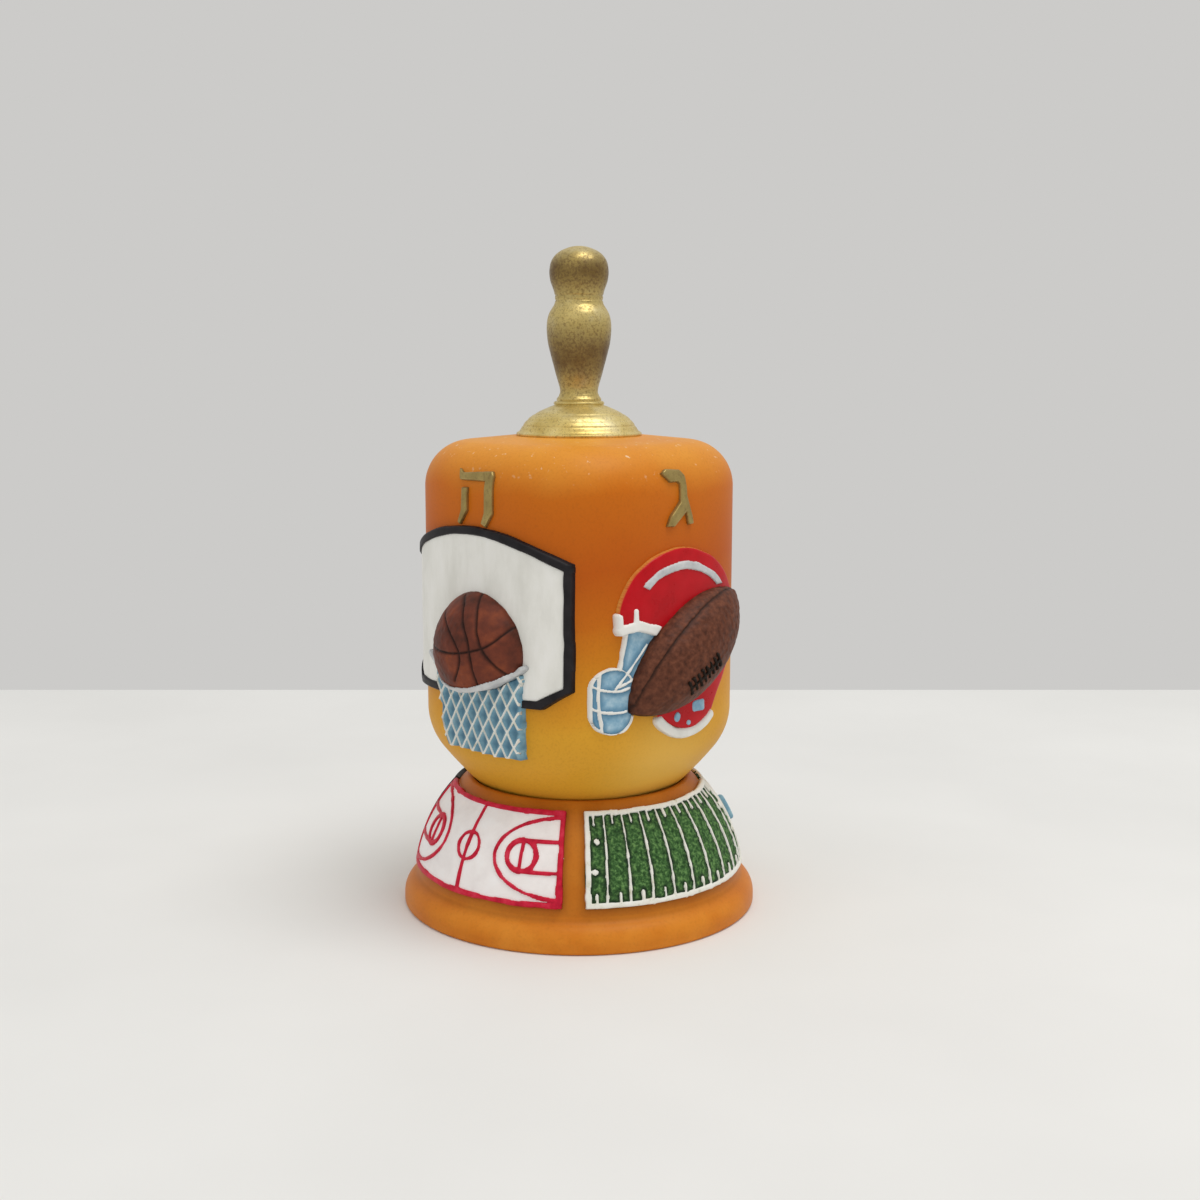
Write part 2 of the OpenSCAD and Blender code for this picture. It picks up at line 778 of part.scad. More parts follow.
module basketball() {
  color("#7a3f26") difference() {
    intersection() {
      ball_cap(BASKET_FACE, ball_at, ball_r, plate_t + ball_out);
      on_face(BASKET_FACE) translate(hoop_at) circle(hoop_r - hoop_t / 2);
    }
    wall_prism(plate_t);
  }
}

module hoop_rim() {
  color("#d9dcdc") difference() {
    intersection() {
      on_face(BASKET_FACE) translate(hoop_at) intersection() {
        ring2d(hoop_r, hoop_t);
        slice2d(-90 - hoop_half, -90 + hoop_half, 2 * hoop_r);
      }
      union() {
        wall_prism(plate_t + hoop_out);
        ball_cap(BASKET_FACE, ball_at, ball_r + hoop_over, plate_t + ball_out + hoop_over);
      }
    }
    wall_prism(plate_t);
  }
}

module net_outline() {
  difference() {
    polygon(net_corners);
    translate(hoop_at) circle(hoop_r + hoop_t / 2);
  }
}

module hoop_net() {
  color("#7fa8c2") difference() {
    intersection() {
      on_face(BASKET_FACE) net_outline();
      wall_prism(net_t);
    }
    body_form();
    backboard();
    backboard_trim();
  }
}

module net_cords() {
  n = ceil((net_top - net_foot + hoop_w) / 2 / net_pitch);
  color("#eef0ee") relief(BASKET_FACE, net_t, net_t + edging_t) intersection() {
    net_outline();
    union() for (s = [-1, 1]) translate([hoop_at.x, 0]) rotate(s * net_lean)
      for (i = [-n:n]) translate([-board_w, i * net_pitch - cord_w / 2]) square([2 * board_w, cord_w]);
  }
}

// Helmet face

// Half the football's width at a share t of its half length
function girth(t) = football_d / 2 * (1 - abs(t) ^ football_bow) ^ football_end;
football_steps = 24;
football_half = [for (i = [0:football_steps]) let (t = cos(180 * i / football_steps))
  [girth(t), football_l / 2 * t]];

module football_outline(inset) {
  translate(football_at) rotate(football_tilt - 90) offset(delta = -inset) {
    polygon(football_half);
    mirror([1, 0]) polygon(football_half);
  }
}

module crown_outline() {
  hull() {
    translate(helmet_at) circle(helmet_r);
    translate(front_at) circle(front_r);
  }
}

module helmet_outline() {
  difference() {
    crown_outline();
    polygon(face_corners);
  }
  polygon(jaw_corners);
  football_outline(football_inset);
}

module helmet_shell() {
  color("#b91c26") relief(HELMET_FACE, 0, plate_t) difference() {
    helmet_outline();
    roll_outline();
  }
}

module helmet_stripe() {
  color("#d8d6d2") relief(HELMET_FACE, plate_t, plate_t + edging_t) difference() {
    intersection() {
      difference() {
        offset(delta = -stripe_in) crown_outline();
        offset(delta = -stripe_in - stripe_w) crown_outline();
      }
      translate(helmet_at) slice2d(stripe_from, stripe_to, 2 * helmet_d);
    }
    football_outline(-football_inset);
  }
}

module brow_outline() {
  bent_bar(brow_line, brow_w);
  for (clip = clips) bent_bar(clip, clip_w);
}

module brow_band() {
  color("#f2efe8") relief(HELMET_FACE, plate_t, plate_t + edging_t) difference() {
    brow_outline();
    football_outline(-football_inset / 2);
  }
}

module roll_outline() {
  translate(roll_at) intersection() {
    ring2d(roll_r - roll_w / 2, roll_w);
    slice2d(roll_from, roll_to, 2 * roll_r);
  }
}

module neck_roll() {
  color("#f2efe8") relief(HELMET_FACE, 0, plate_t + edging_t) roll_outline();
}

module mask_outline(r) {
  for (s = [-1, 1]) translate(mask_at + [0, s * mask_half]) circle(r);
  translate(mask_at - [r, mask_half]) square([2 * r, 2 * mask_half]);
}

module opening_outline() {
  polygon(opening_corners);
  mask_outline(mask_r);
}

module face_opening() {
  color("#6f9fc0") relief(HELMET_FACE, 0, plate_t) difference() {
    opening_outline();
    helmet_outline();
  }
}

module face_mask() {
  color("#f2efe8") relief(HELMET_FACE, plate_t, plate_t + edging_t) difference() {
    union() {
      difference() {
        mask_outline(mask_r);
        mask_outline(mask_r - bar_w);
      }
      intersection() {
        mask_outline(mask_r);
        translate(mask_at) for (bar = mask_bars) bent_bar(bar, bar_w);
      }
      for (stay = mask_stays) bent_bar(stay, bar_w);
    }
    brow_outline();
    football_outline(-football_inset / 2);
  }
}

module ear_holes() {
  color("#6f9fc0") relief(HELMET_FACE, plate_t, plate_t + edging_t) difference() {
    union() {
      translate(ear_at) square(ear_size, center = true);
      for (dot = ear_dots) translate([dot[0], dot[1]]) circle(dot[2]);
    }
    football_outline(-football_inset / 2);
  }
}

// The football lies along its own axis, half sunk in the face
module football_form(grow) {
  rotate([0, 0, 90 * HELMET_FACE])
    translate([football_at.x, -body_a, wall_z + football_at.y])
      rotate([0, -football_tilt, 0]) rotate([0, 90, 0])
        rotate_extrude() intersection() {
          offset(delta = grow) polygon(football_half);
          translate([0, -football_l]) square([football_d, 2 * football_l]);
        }
}

module football() {
  color("#6b4530") difference() {
    football_form(0);
    wall_prism(plate_t);
  }
}

module football_laces() {
  color("#2a1f1a") difference() {
    intersection() {
      football_form(lace_t);
      on_face(HELMET_FACE) translate(football_at) rotate(football_tilt) translate([0, lace_side]) {
        square([lace_pitch * lace_count, lace_w], center = true);
        for (i = [0:lace_count - 1]) translate([(i - (lace_count - 1) / 2) * lace_pitch, 0])
          square([lace_w, lace_l], center = true);
      }
    }
    football_form(0);
    wall_prism(plate_t);
  }
}

// Goal face

module goal_outline(inset) {
  translate([-goal_w / 2 + inset, goal_low]) square([goal_w - 2 * inset, goal_h - inset]);
}

module goal_frame() {
  color("#f2efe8") relief(GOAL_FACE, 0, plate_t + edging_t) difference() {
    goal_outline(0);
    goal_outline(post_d);
  }
}

module goal_net() {
  color("#7fa8c2") relief(GOAL_FACE, 0, plate_t / 2) goal_outline(post_d);
}

module goal_cords() {
  n = floor(goal_w / goal_pitch / 2);
  color("#eef0ee") relief(GOAL_FACE, plate_t / 2, plate_t) intersection() {
    goal_outline(post_d);
    translate([0, goal_low + goal_h - post_d]) {
      for (i = [-n:n]) translate([i * goal_pitch - cord_w / 2, -goal_h]) square([cord_w, goal_h]);
      for (i = [1:2 * n]) translate([-goal_w / 2, -i * goal_pitch]) square([goal_w, cord_w]);
    }
  }
}

module soccer_ball() {
  color("#f2efe8") difference() {
    ball_cap(GOAL_FACE, soccer_at, soccer_r, plate_t + soccer_out);
    wall_prism(plate_t);
  }
}

module soccer_patches() {
  color("#22201f") difference() {
    intersection() {
      ball_cap(GOAL_FACE, soccer_at, soccer_r + patch_t, plate_t + soccer_out + patch_t);
      on_face(GOAL_FACE) translate(soccer_at) {
        rotate(90) circle(patch_r, $fn = 5);
        for (i = [0:4]) rotate(90 + 36 + 72 * i) translate([patch_ring, 0]) rotate(180)
          circle(patch_r * patch_out, $fn = 5);
      }
    }
    ball_cap(GOAL_FACE, soccer_at, soccer_r, plate_t + soccer_out);
    wall_prism(plate_t);
  }
}

// Glove face

module finger2d(l, d) {
  translate([-d / 2, 0]) square([d, l - d / 2]);
  translate([0, l - d / 2]) circle(d / 2);
}

module glove_outline() {
  translate(palm_at) {
    circle(palm_d / 2);
    for (i = [0:3]) rotate((1 - i) * finger_tilt + finger_turn)
      translate([(i - 1.5) * (finger_d + finger_gap), palm_d / 4]) finger2d(finger_l, finger_d);
    rotate(thumb_turn) translate([0, palm_d / 4]) finger2d(finger_l * thumb_share, finger_d);
    translate([0, -palm_d / 2]) square(wrist, center = true);
  }
}

module glove() {
  color("#8a552f") relief(GLOVE_FACE, 0, plate_t + edging_t) difference() {
    glove_outline();
    web_outline();
  }
}

module web_outline() {
  translate(web_at) rotate(web_turn) square(web_size, center = true);
}

module glove_web() {
  color("#5d3a22") relief(GLOVE_FACE, 0, plate_t) web_outline();
}

module baseball() {
  color("#f2efe8") difference() {
    ball_cap(GLOVE_FACE, baseball_at, baseball_r, plate_t + edging_t + baseball_out);
    wall_prism(plate_t + edging_t);
  }
}

// The bat's half outline: handle, swell and rounded end
module bat_profile() {
  polygon(concat([[0, 0], [bat_knob_d / 2, 0], [bat_knob_d / 2, bat_knob_h], [bat_grip_d / 2, bat_knob_end]],
    [for (i = [0:stem_steps]) let (t = i / stem_steps)
      [(bat_grip_d + (bat_d - bat_grip_d) * fade(t)) / 2,
       bat_l * (bat_swell_from + (bat_swell_to - bat_swell_from) * t)]],
    [for (i = [0:stem_steps]) let (q = 90 * i / stem_steps)
      [bat_d / 2 * cos(q), bat_l - bat_d / 2 * (1 - sin(q))]]));
}

module bat() {
  color("#c9a063") difference() {
    rotate([0, 0, 90 * GLOVE_FACE])
      translate([bat_at.x, -bat_depth, wall_z + bat_at.y - bat_l / 2])
        rotate_extrude() bat_profile();
    wall_prism(0);
  }
}

stand();
court_board();
court_lines();
field_turf();
field_lines();
pitch_turf();
pitch_lines();
pitch_goals();
diamond_turf();
diamond_infield();
diamond_lines();
diamond_border();
core_pin();
dreidel_body();
stem();
backboard();
backboard_trim();
basketball();
hoop_rim();
hoop_net();
net_cords();
helmet_shell();
helmet_stripe();
brow_band();
neck_roll();
face_opening();
face_mask();
ear_holes();
football();
football_laces();
goal_frame();
goal_net();
goal_cords();
soccer_ball();
soccer_patches();
glove();
glove_web();
baseball();
bat();
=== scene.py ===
"""A painted cast-resin dreidel with sport reliefs, standing in its round stand.

Lengths are millimetres, and MM turns them to metres where a mesh is made. A relief is drawn flat, in [across,
up] on its face or field, as a signed distance that is negative inside the drawing, and is then raised. Noise
on an edge or a surface is given as its depth, the size of its bumps and its seed.
"""
from math import acos, asin, atan2, cos, degrees, pi, radians, sin, sqrt

import bpy
import numpy as np
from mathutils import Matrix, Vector


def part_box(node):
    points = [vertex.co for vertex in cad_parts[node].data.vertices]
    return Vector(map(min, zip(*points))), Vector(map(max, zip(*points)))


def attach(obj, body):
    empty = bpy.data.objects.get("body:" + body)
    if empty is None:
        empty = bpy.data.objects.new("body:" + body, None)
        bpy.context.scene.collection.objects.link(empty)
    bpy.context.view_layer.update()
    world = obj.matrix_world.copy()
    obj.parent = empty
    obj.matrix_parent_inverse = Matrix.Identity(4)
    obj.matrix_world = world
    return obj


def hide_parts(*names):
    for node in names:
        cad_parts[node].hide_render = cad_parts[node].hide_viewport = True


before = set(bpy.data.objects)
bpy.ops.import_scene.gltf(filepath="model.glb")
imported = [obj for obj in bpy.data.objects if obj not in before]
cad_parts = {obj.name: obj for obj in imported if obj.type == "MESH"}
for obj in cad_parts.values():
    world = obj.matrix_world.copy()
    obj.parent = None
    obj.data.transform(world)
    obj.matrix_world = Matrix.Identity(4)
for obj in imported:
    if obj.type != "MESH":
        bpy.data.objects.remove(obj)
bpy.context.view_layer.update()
MM = 0.001

# Faces of the body and fields of the stand, counted round from the one that looks along -Y
BASKET, HELMET, GOAL, GLOVE = range(4)

# Body
TIP_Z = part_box("dreidel_body")[0].z / MM
BODY_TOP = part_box("dreidel_body")[1].z / MM
BODY_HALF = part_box("dreidel_body")[1].x / MM
SQUARE = 2.85
WALL_H = 33.7
SHOULDER_R, SHOULDER_END = 6.9, radians(85)
CROWN_H = 0.6
HEEL_R, HEEL_LEAN = 9.5, radians(40)
BELLY_R, TIP_R = 60.0, 6.0
SEAT_RIM = 0.8
ROUND_LOW = 2.4
SHOULDER_Z = BODY_TOP - CROWN_H
WALL_TOP = SHOULDER_Z - SHOULDER_R * sin(SHOULDER_END)
WALL_Z = WALL_TOP - WALL_H
CORNER_K = 2 ** (1 / 2 - 1 / SQUARE)
CORNER_R = BODY_HALF * CORNER_K
TIP_RINGS, BELLY_RINGS, HEEL_RINGS, WALL_RINGS, SHOULDER_RINGS, CROWN_RINGS = 10, 36, 20, 30, 28, 12

# Stem: its curve is [radius, height above the body]; round some heights, each with a spread, its gold
# has bands of painted dark reflection
STEM_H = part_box("stem")[1].z / MM - BODY_TOP
COLLAR_D, COLLAR_LIP = 18.9, 0.4
STEM_CURVE = [
    (9.4, 0.45), (8.95, 0.75), (8.6, 1.3), (8.2, 1.9), (7.65, 2.5), (6.85, 3.1), (5.75, 3.7), (4.4, 4.3),
    (3.75, 4.55), (3.82, 4.8), (3.72, 5.05), (3.4, 5.25), (3.35, 5.5), (3.05, 5.9), (2.98, 6.1),
    (2.86, 6.4), (2.86, 6.8), (2.95, 7.3), (3.2, 8.2), (3.5, 9.2), (3.78, 10.3), (4.08, 11.4), (4.36, 12.5),
    (4.62, 13.6), (4.78, 14.8), (4.84, 16.0), (4.74, 17.2), (4.48, 18.1), (4.1, 18.8), (3.72, 19.4),
    (3.58, 19.9), (3.58, 20.4), (3.64, 20.9), (3.78, 21.5), (4.0, 22.1), (4.22, 22.7), (4.36, 23.4),
    (4.42, 24.1), (4.36, 24.9), (4.2, 25.6), (3.9, 26.2), (3.4, 26.8), (2.6, 27.35), (1.4, 27.82),
    (0.5, 27.98)]
TURNED_LINES = [1.5, 2.35, 3.2, 5.2, 20.05, 20.75]
TURNED_DEPTH, TURNED_W = 0.09, 0.1
DARK_REFLECTION_BANDS = [(11.8, 4.8), (23.8, 3.3)]

# Stand
STAND_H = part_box("stand")[1].z / MM
PLINTH_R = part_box("stand")[1].x / MM
PLINTH_H, PLINTH_ROUND, FOOT_ROUND = 4.3, 3.0, 0.5
FILLET_FROM, FILLET_UP = 58, 1.0
DOME_FOOT_R, DOME_R = 25.0, 23.6
CUP_R, CUP_DEPTH, LIP_W = 16.9, 16.8, 0.3
LIP_IN, LIP_ROLL = 16.5, 0.5
DOME_SHADE, CORNER_SHADE, CUP_SHADE = 0.2, 0.45, 0.5
FIELD_SHADE_W, FOOT_SHADE_W = 0.7, 0.6

# Fields on the stand
FIELD_LOW, FIELD_HIGH = 1.75, 1.85
FIELD_HALF, COURT_LEFT, COURT_RIGHT = radians(43), radians(45), radians(39.5)
FIELD_T, LINE_T, LINE_W, BORDER_W = 0.5, 0.25, 0.7, 0.9

# Reliefs: thickness, how deep a rim is sunk, the grid's steps, and the width of a line that only marks a seam
PLATE_T, EDGING_T = 0.6, 0.25
SINK = 0.35
COARSE, FINE, FINER, FINEST = 0.2, 0.14, 0.1, 0.08
HAIR = 0.01
BODY_SIDES, STEM_SIDES, STAND_SIDES, PIN_SIDES = 256, 128, 288, 48


# Colour and shader nodes

PAINT_SHINE = 0.15


def linear(code):
    """An sRGB hex colour as linear RGBA."""
    parts = [int(code[i:i + 2], 16) / 255 for i in (1, 3, 5)]
    return tuple(c / 12.92 if c <= 0.04045 else ((c + 0.055) / 1.055) ** 2.4 for c in parts) + (1.0,)


def per_mm(size):
    """Texture scale whose pattern repeats about every size millimetres."""
    return 1 / (size * MM)


def add(tree, kind, inputs=None, stops=None, out=0, **settings):
    """Adds a node with its settings, ramp stops and inputs, and gives one of its outputs.
    An input is a socket to link, a hex colour or a plain value."""
    node = tree.nodes.new("ShaderNode" + kind)
    for name, value in settings.items():
        setattr(node, name, value)
    if stops:
        ramp = node.color_ramp
        while len(ramp.elements) < len(stops):
            ramp.elements.new(0.5)
        for element, (at, code) in zip(ramp.elements, stops):
            element.position = at
            element.color = linear(code)
    for name, value in (inputs or {}).items():
        if isinstance(value, bpy.types.NodeSocket):
            tree.links.new(value, node.inputs[name])
        else:
            node.inputs[name].default_value = linear(value) if isinstance(value, str) else value
    return node.outputs[out] if node.outputs else None


def start_material(name):
    material = bpy.data.materials.new(name)
    material.use_nodes = True
    material.node_tree.nodes.clear()
    return material, material.node_tree, add(material.node_tree, "TexCoord", out="Object")


def end_material(tree, surface):
    add(tree, "OutputMaterial", {"Surface": add(tree, "BsdfPrincipled", surface)})


# Inputs 0, 6 and 7 of a colour mix are the share, the colour below and the colour laid over it
LAID_OVER = {"out": 2, "data_type": "RGBA"}


def painted_resin(name, tones, roughness, mottle=3.0, grain=0.3, grain_depth=0.02, stops=None, streak=None,
                  rim=None, seam_and_shade=None):
    """Acrylic brushed on cast resin: close tones in soft patches, a fine tooth, and a satin surface.
    The tones are spread evenly over the noise, unless their stops are given. A rim colour is laid along the
    outer edge, and the seam and shade colour darkens what lies low: painted seams and painted shade."""
    material, tree, place = start_material(name)
    brushed = add(tree, "Mapping", {"Vector": place, "Scale": streak}) if streak else place
    patches = add(tree, "TexNoise", {"Vector": brushed, "Scale": per_mm(mottle), "Detail": 5.0,
                                     "Roughness": 0.62})
    spread = np.linspace(0.3, 0.7, len(tones)) if stops is None else stops
    colour = add(tree, "ValToRGB", {"Fac": patches}, list(zip(spread, tones)))
    # Painted seams and painted shade, laid where the low value is high
    if seam_and_shade:
        low = add(tree, "Attribute", out="Fac", attribute_name="low")
        colour = add(tree, "Mix", {0: low, 6: colour, 7: seam_and_shade}, **LAID_OVER)
    # A light orange laid along the outer edge of the piece
    if rim:
        edge = add(tree, "Attribute", out="Fac", attribute_name="edge")
        at_rim = add(tree, "MapRange", {"Value": edge, "From Min": 0.12, "From Max": 0.4, "To Min": 1.0,
                                      "To Max": 0.0})
        colour = add(tree, "Mix", {0: at_rim, 6: colour, 7: rim}, **LAID_OVER)
    tooth = add(tree, "TexNoise", {"Vector": place, "Scale": per_mm(grain), "Detail": 3.0})
    sheen = add(tree, "MapRange", {"Value": patches, "From Min": 0.3, "From Max": 0.7,
                                   "To Min": roughness - 0.06, "To Max": roughness + 0.08})
    bump = add(tree, "Bump", {"Height": tooth, "Strength": 0.5, "Distance": grain_depth * MM})
    end_material(tree, {"Base Color": colour, "Roughness": sheen, "Normal": bump,
                        "Specular IOR Level": PAINT_SHINE})
    return material


# Centre, inner and outer reach of a pale pool of painted light on the lower body under the helmet
PAINTED_LIGHT_AT, PAINTED_LIGHT_IN, PAINTED_LIGHT_OUT = (19.0, -2.0, 25.0), 2.0, 13.0


def airbrushed_resin():
    """Cast resin airbrushed from burnt orange at the shoulder to golden yellow below, with fine overspray
    dots and pale dust on the shoulder. Painted light on it: a pale pool of light under the helmet, a
    highlight on the shoulder, and lighter belly tones that stand for bounce light."""
    material, tree, place = start_material("airbrushed_orange_resin")
    height = add(tree, "SeparateXYZ", {"Vector": place}, out="Z")
    drift = add(tree, "TexNoise", {"Vector": place, "Scale": per_mm(16), "Detail": 3.0})
    level = add(tree, "MapRange", {"Value": height, "From Min": TIP_Z * MM, "From Max": BODY_TOP * MM})
    sway = add(tree, "MapRange", {"Value": drift, "To Min": -0.07, "To Max": 0.07})
    along = add(tree, "Math", {0: level, 1: sway}, operation="ADD")
    # The golden belly tones are partly painted bounce light, and the top stop is partly a painted highlight
    colour = add(tree, "ValToRGB", {"Fac": along}, [
        (0.0, "#d09a2e"), (0.18, "#dfa532"), (0.34, "#dfa22e"), (0.46, "#d68b1e"), (0.58, "#c96c10"),
        (0.72, "#c15b0c"), (0.88, "#cf6e12"), (1.0, "#e49c38")])
    spray = add(tree, "TexNoise", {"Vector": place, "Scale": per_mm(0.35), "Detail": 2.0})
    dots = add(tree, "MapRange", {"Value": spray, "From Min": 0.48, "From Max": 0.78, "To Max": 0.15})
    colour = add(tree, "Mix", {0: dots, 6: colour, 7: "#8a4510"}, **LAID_OVER)
    # A pale pool of painted light on the lower body under the helmet, where light from the right falls
    from_painted_light = add(tree, "VectorMath", {0: place, 1: [c * MM for c in PAINTED_LIGHT_AT]}, out="Value",
                    operation="DISTANCE")
    painted_light = add(tree, "MapRange", {"Value": from_painted_light, "From Min": PAINTED_LIGHT_IN * MM, "From Max": PAINTED_LIGHT_OUT * MM,
                                  "To Min": 0.6, "To Max": 0.0}, interpolation_type="SMOOTHSTEP")
    colour = add(tree, "Mix", {0: painted_light, 6: colour, 7: "#f2c25c"}, **LAID_OVER)
    dust = add(tree, "TexNoise", {"Vector": place, "Scale": per_mm(0.9), "Detail": 3.0})
    specks = add(tree, "MapRange", {"Value": dust, "From Min": 0.66, "From Max": 0.74, "To Max": 0.8})
    top = add(tree, "MapRange", {"Value": level, "From Min": 0.90, "From Max": 0.97})
    dusted = add(tree, "Math", {0: specks, 1: top}, operation="MULTIPLY")
    colour = add(tree, "Mix", {0: dusted, 6: colour, 7: "#f0d8b4"}, **LAID_OVER)
    peel = add(tree, "TexNoise", {"Vector": place, "Scale": per_mm(0.8), "Detail": 2.0})
    bump = add(tree, "Bump", {"Height": peel, "Strength": 0.4, "Distance": 0.02 * MM})
    gloss = add(tree, "MapRange", {"Value": drift, "To Min": 0.40, "To Max": 0.52})
    end_material(tree, {"Base Color": colour, "Roughness": gloss, "Normal": bump,
                        "Specular IOR Level": PAINT_SHINE})
    return material


def terracotta_resin():
    """Cast resin airbrushed terracotta orange, with brown painted shade by the fields, at the dome's foot
    and in the cup.
    """
    material, tree, place = start_material("terracotta_resin")
    patches = add(tree, "TexNoise", {"Vector": place, "Scale": per_mm(9), "Detail": 4.0})
    colour = add(tree, "ValToRGB", {"Fac": patches}, [(0.3, "#ca711a"), (0.5, "#d47d20"), (0.7, "#de8b2c")])
    # Painted shade: brown laid where the stand's low value is high
    low = add(tree, "Attribute", out="Fac", attribute_name="low")
    colour = add(tree, "Mix", {0: low, 6: colour, 7: "#8a4c10"}, **LAID_OVER)
    spray = add(tree, "TexNoise", {"Vector": place, "Scale": per_mm(0.45), "Detail": 2.0})
    dots = add(tree, "MapRange", {"Value": spray, "From Min": 0.5, "From Max": 0.8, "To Max": 0.18})
    colour = add(tree, "Mix", {0: dots, 6: colour, 7: "#90500f"}, **LAID_OVER)
    bump = add(tree, "Bump", {"Height": spray, "Strength": 0.4, "Distance": 0.02 * MM})
    gloss = add(tree, "MapRange", {"Value": patches, "To Min": 0.36, "To Max": 0.5})
    end_material(tree, {"Base Color": colour, "Roughness": gloss, "Normal": bump,
                        "Specular IOR Level": PAINT_SHINE})
    return material


def antique_gold(name, tones, speck, speck_size):
    """Gold bronze paint over a brown ground, which shows as specks. Where the low value is high, as in the
    stem's bands of painted dark reflection, the gold is darker and shows more specks.
    """
    material, tree, place = start_material(name)
    patches = add(tree, "TexNoise", {"Vector": place, "Scale": per_mm(4), "Detail": 4.0})
    colour = add(tree, "ValToRGB", {"Fac": patches}, tones)
    specks = add(tree, "TexNoise", {"Vector": place, "Scale": per_mm(speck_size), "Detail": 5.0,
                                    "Roughness": 0.7})
    # The low value is painted dark reflection on the stem: the gold is darkened and more specked there
    painted_reflection = add(tree, "Attribute", out="Fac", attribute_name="low")
    speck_and_reflection = add(tree, "Math", {0: painted_reflection, 1: 0.08, 2: specks}, operation="MULTIPLY_ADD")
    shown = add(tree, "MapRange", {"Value": speck_and_reflection, "From Min": 0.52, "From Max": 0.66, "To Max": speck})
    patchy_share = add(tree, "MapRange", {"Value": patches, "From Min": 0.3, "From Max": 0.6, "To Min": 0.7})
    darkened = add(tree, "Math", {0: painted_reflection, 1: patchy_share}, operation="MULTIPLY")
    colour = add(tree, "Mix", {0: darkened, 6: colour, 7: "#6a4e20"}, **LAID_OVER)
    colour = add(tree, "Mix", {0: shown, 6: colour, 7: "#563812"}, **LAID_OVER)
    metal = add(tree, "MapRange", {"Value": shown, "To Min": 0.6, "To Max": 0.25})
    matt = add(tree, "MapRange", {"Value": specks, "From Min": 0.35, "From Max": 0.7, "To Min": 0.27,
                                  "To Max": 0.5})
    bump = add(tree, "Bump", {"Height": specks, "Strength": 0.4, "Distance": 0.02 * MM})
    end_material(tree, {"Base Color": colour, "Metallic": metal, "Roughness": matt, "Normal": bump})
    return material


def drawn_steel():
    """Bright drawn steel rod, with fine lines along its length."""
    material, tree, place = start_material("drawn_steel")
    lines = add(tree, "Mapping", {"Vector": place, "Scale": (1.0, 1.0, 0.05)})
    scratches = add(tree, "TexNoise", {"Vector": lines, "Scale": per_mm(0.3), "Detail": 3.0})
    colour = add(tree, "ValToRGB", {"Fac": scratches}, [(0.3, "#83878b"), (0.7, "#a9adb1")])
    matt = add(tree, "MapRange", {"Value": scratches, "To Min": 0.22, "To Max": 0.4})
    end_material(tree, {"Base Color": colour, "Metallic": 1.0, "Roughness": matt})
    return material


def floor_card():
    """Matt white card with a faint cloudiness."""
    material, tree, place = start_material("matt_card")
    clouds = add(tree, "TexNoise", {"Vector": place, "Scale": per_mm(60), "Detail": 3.0})
    colour = add(tree, "ValToRGB", {"Fac": clouds}, [(0.3, "#e6e6e4"), (0.7, "#ececea")])
    end_material(tree, {"Base Color": colour, "Roughness": 0.75})
    return material


# Finishes: each is a material and a slot name, which this script does not use

RIM_ORANGE = "#dc9a48"
BODY_PAINT = airbrushed_resin(), "body_resin"
STAND_PAINT = terracotta_resin(), "stand_resin"
STEM_GOLD = antique_gold("antique_gold_stem", [(0.3, "#d2b868"), (0.55, "#e6d086"), (0.75, "#f2e4ae")],
                         0.55, 0.4), "gold_paint"
MARK_GOLD = antique_gold("antique_gold_marks", [(0.3, "#8a7440"), (0.7, "#b09a5c")], 0.4, 0.6), "gold_paint"
STEEL = drawn_steel(), "steel"
WHITE = painted_resin("brushed_white", ["#e5e4dd", "#f0efe9", "#f7f6f2"], 0.45, 4.0,
                      streak=(1.0, 1.0, 0.35)), "white_paint"
# A brighter copy of the white for the upward-facing court: painted light from above
LIT_COURT_WHITE = painted_resin("brushed_white_lit_court", ["#f2ecea", "#fbf6f4", "#fefcfb"],
                            0.4, 4.0), "white_paint"
LINE_WHITE = painted_resin("brushed_line_white", ["#c9c4a8", "#ecebe0", "#f4f3ee"], 0.45, 1.6,
                           stops=(0.25, 0.4, 0.7)), "white_paint"
BALL_WHITE = painted_resin("ball_white", ["#dcdad2", "#f1efe9"], 0.42, 3.0, seam_and_shade="#4a4844"), "white_paint"
BLACK = painted_resin("brushed_black", ["#1b191c", "#2b282b"], 0.42, 2.0), "black_paint"
RED = painted_resin("gloss_red", ["#b40d18", "#c2101c", "#cc1a26"], 0.30, 5.0, rim=RIM_ORANGE), "red_paint"
CRIMSON = painted_resin("brushed_crimson", ["#b01230", "#cf1c3a", "#dc3a54"], 0.38, 1.4), "crimson_paint"
BLUE = painted_resin("brushed_slate_blue", ["#6390a9", "#80aabd", "#9cc0cc"], 0.45, 1.6,
                     seam_and_shade="#4a7289"), "blue_paint"
SKY_BLUE = painted_resin("brushed_sky_blue", ["#6f9fbd", "#94bad0", "#b4d0de"], 0.45, 1.4,
                         seam_and_shade="#4c7fa0"), "blue_paint"
PALE_GREY = painted_resin("brushed_pale_grey", ["#b9bbbd", "#d9dbdb"], 0.42, 2.0), "grey_paint"
BALL_BROWN = painted_resin("ball_brown", ["#4e2a20", "#6c3627", "#8a472d"], 0.5, 3.5, 0.28, 0.04,
                           seam_and_shade="#170d0a"), "ball_brown"
LEATHER = painted_resin("leather_brown", ["#47271b", "#603727", "#774733"], 0.5, 0.8, 0.22, 0.05,
                        seam_and_shade="#24150e"), "leather_brown"
WEB_BROWN = painted_resin("web_brown", ["#2e1b13", "#48291c"], 0.5, 0.8), "dark_brown"
LACE = painted_resin("lace_brown", ["#1a1410", "#30251d"], 0.5, 0.8), "dark_brown"
TURF = painted_resin("stippled_turf", ["#24431f", "#3d6434", "#6a9254"], 0.6, 0.5, 0.3, 0.05,
                     seam_and_shade="#162a1a", stops=(0.36, 0.5, 0.64)), "field_green"
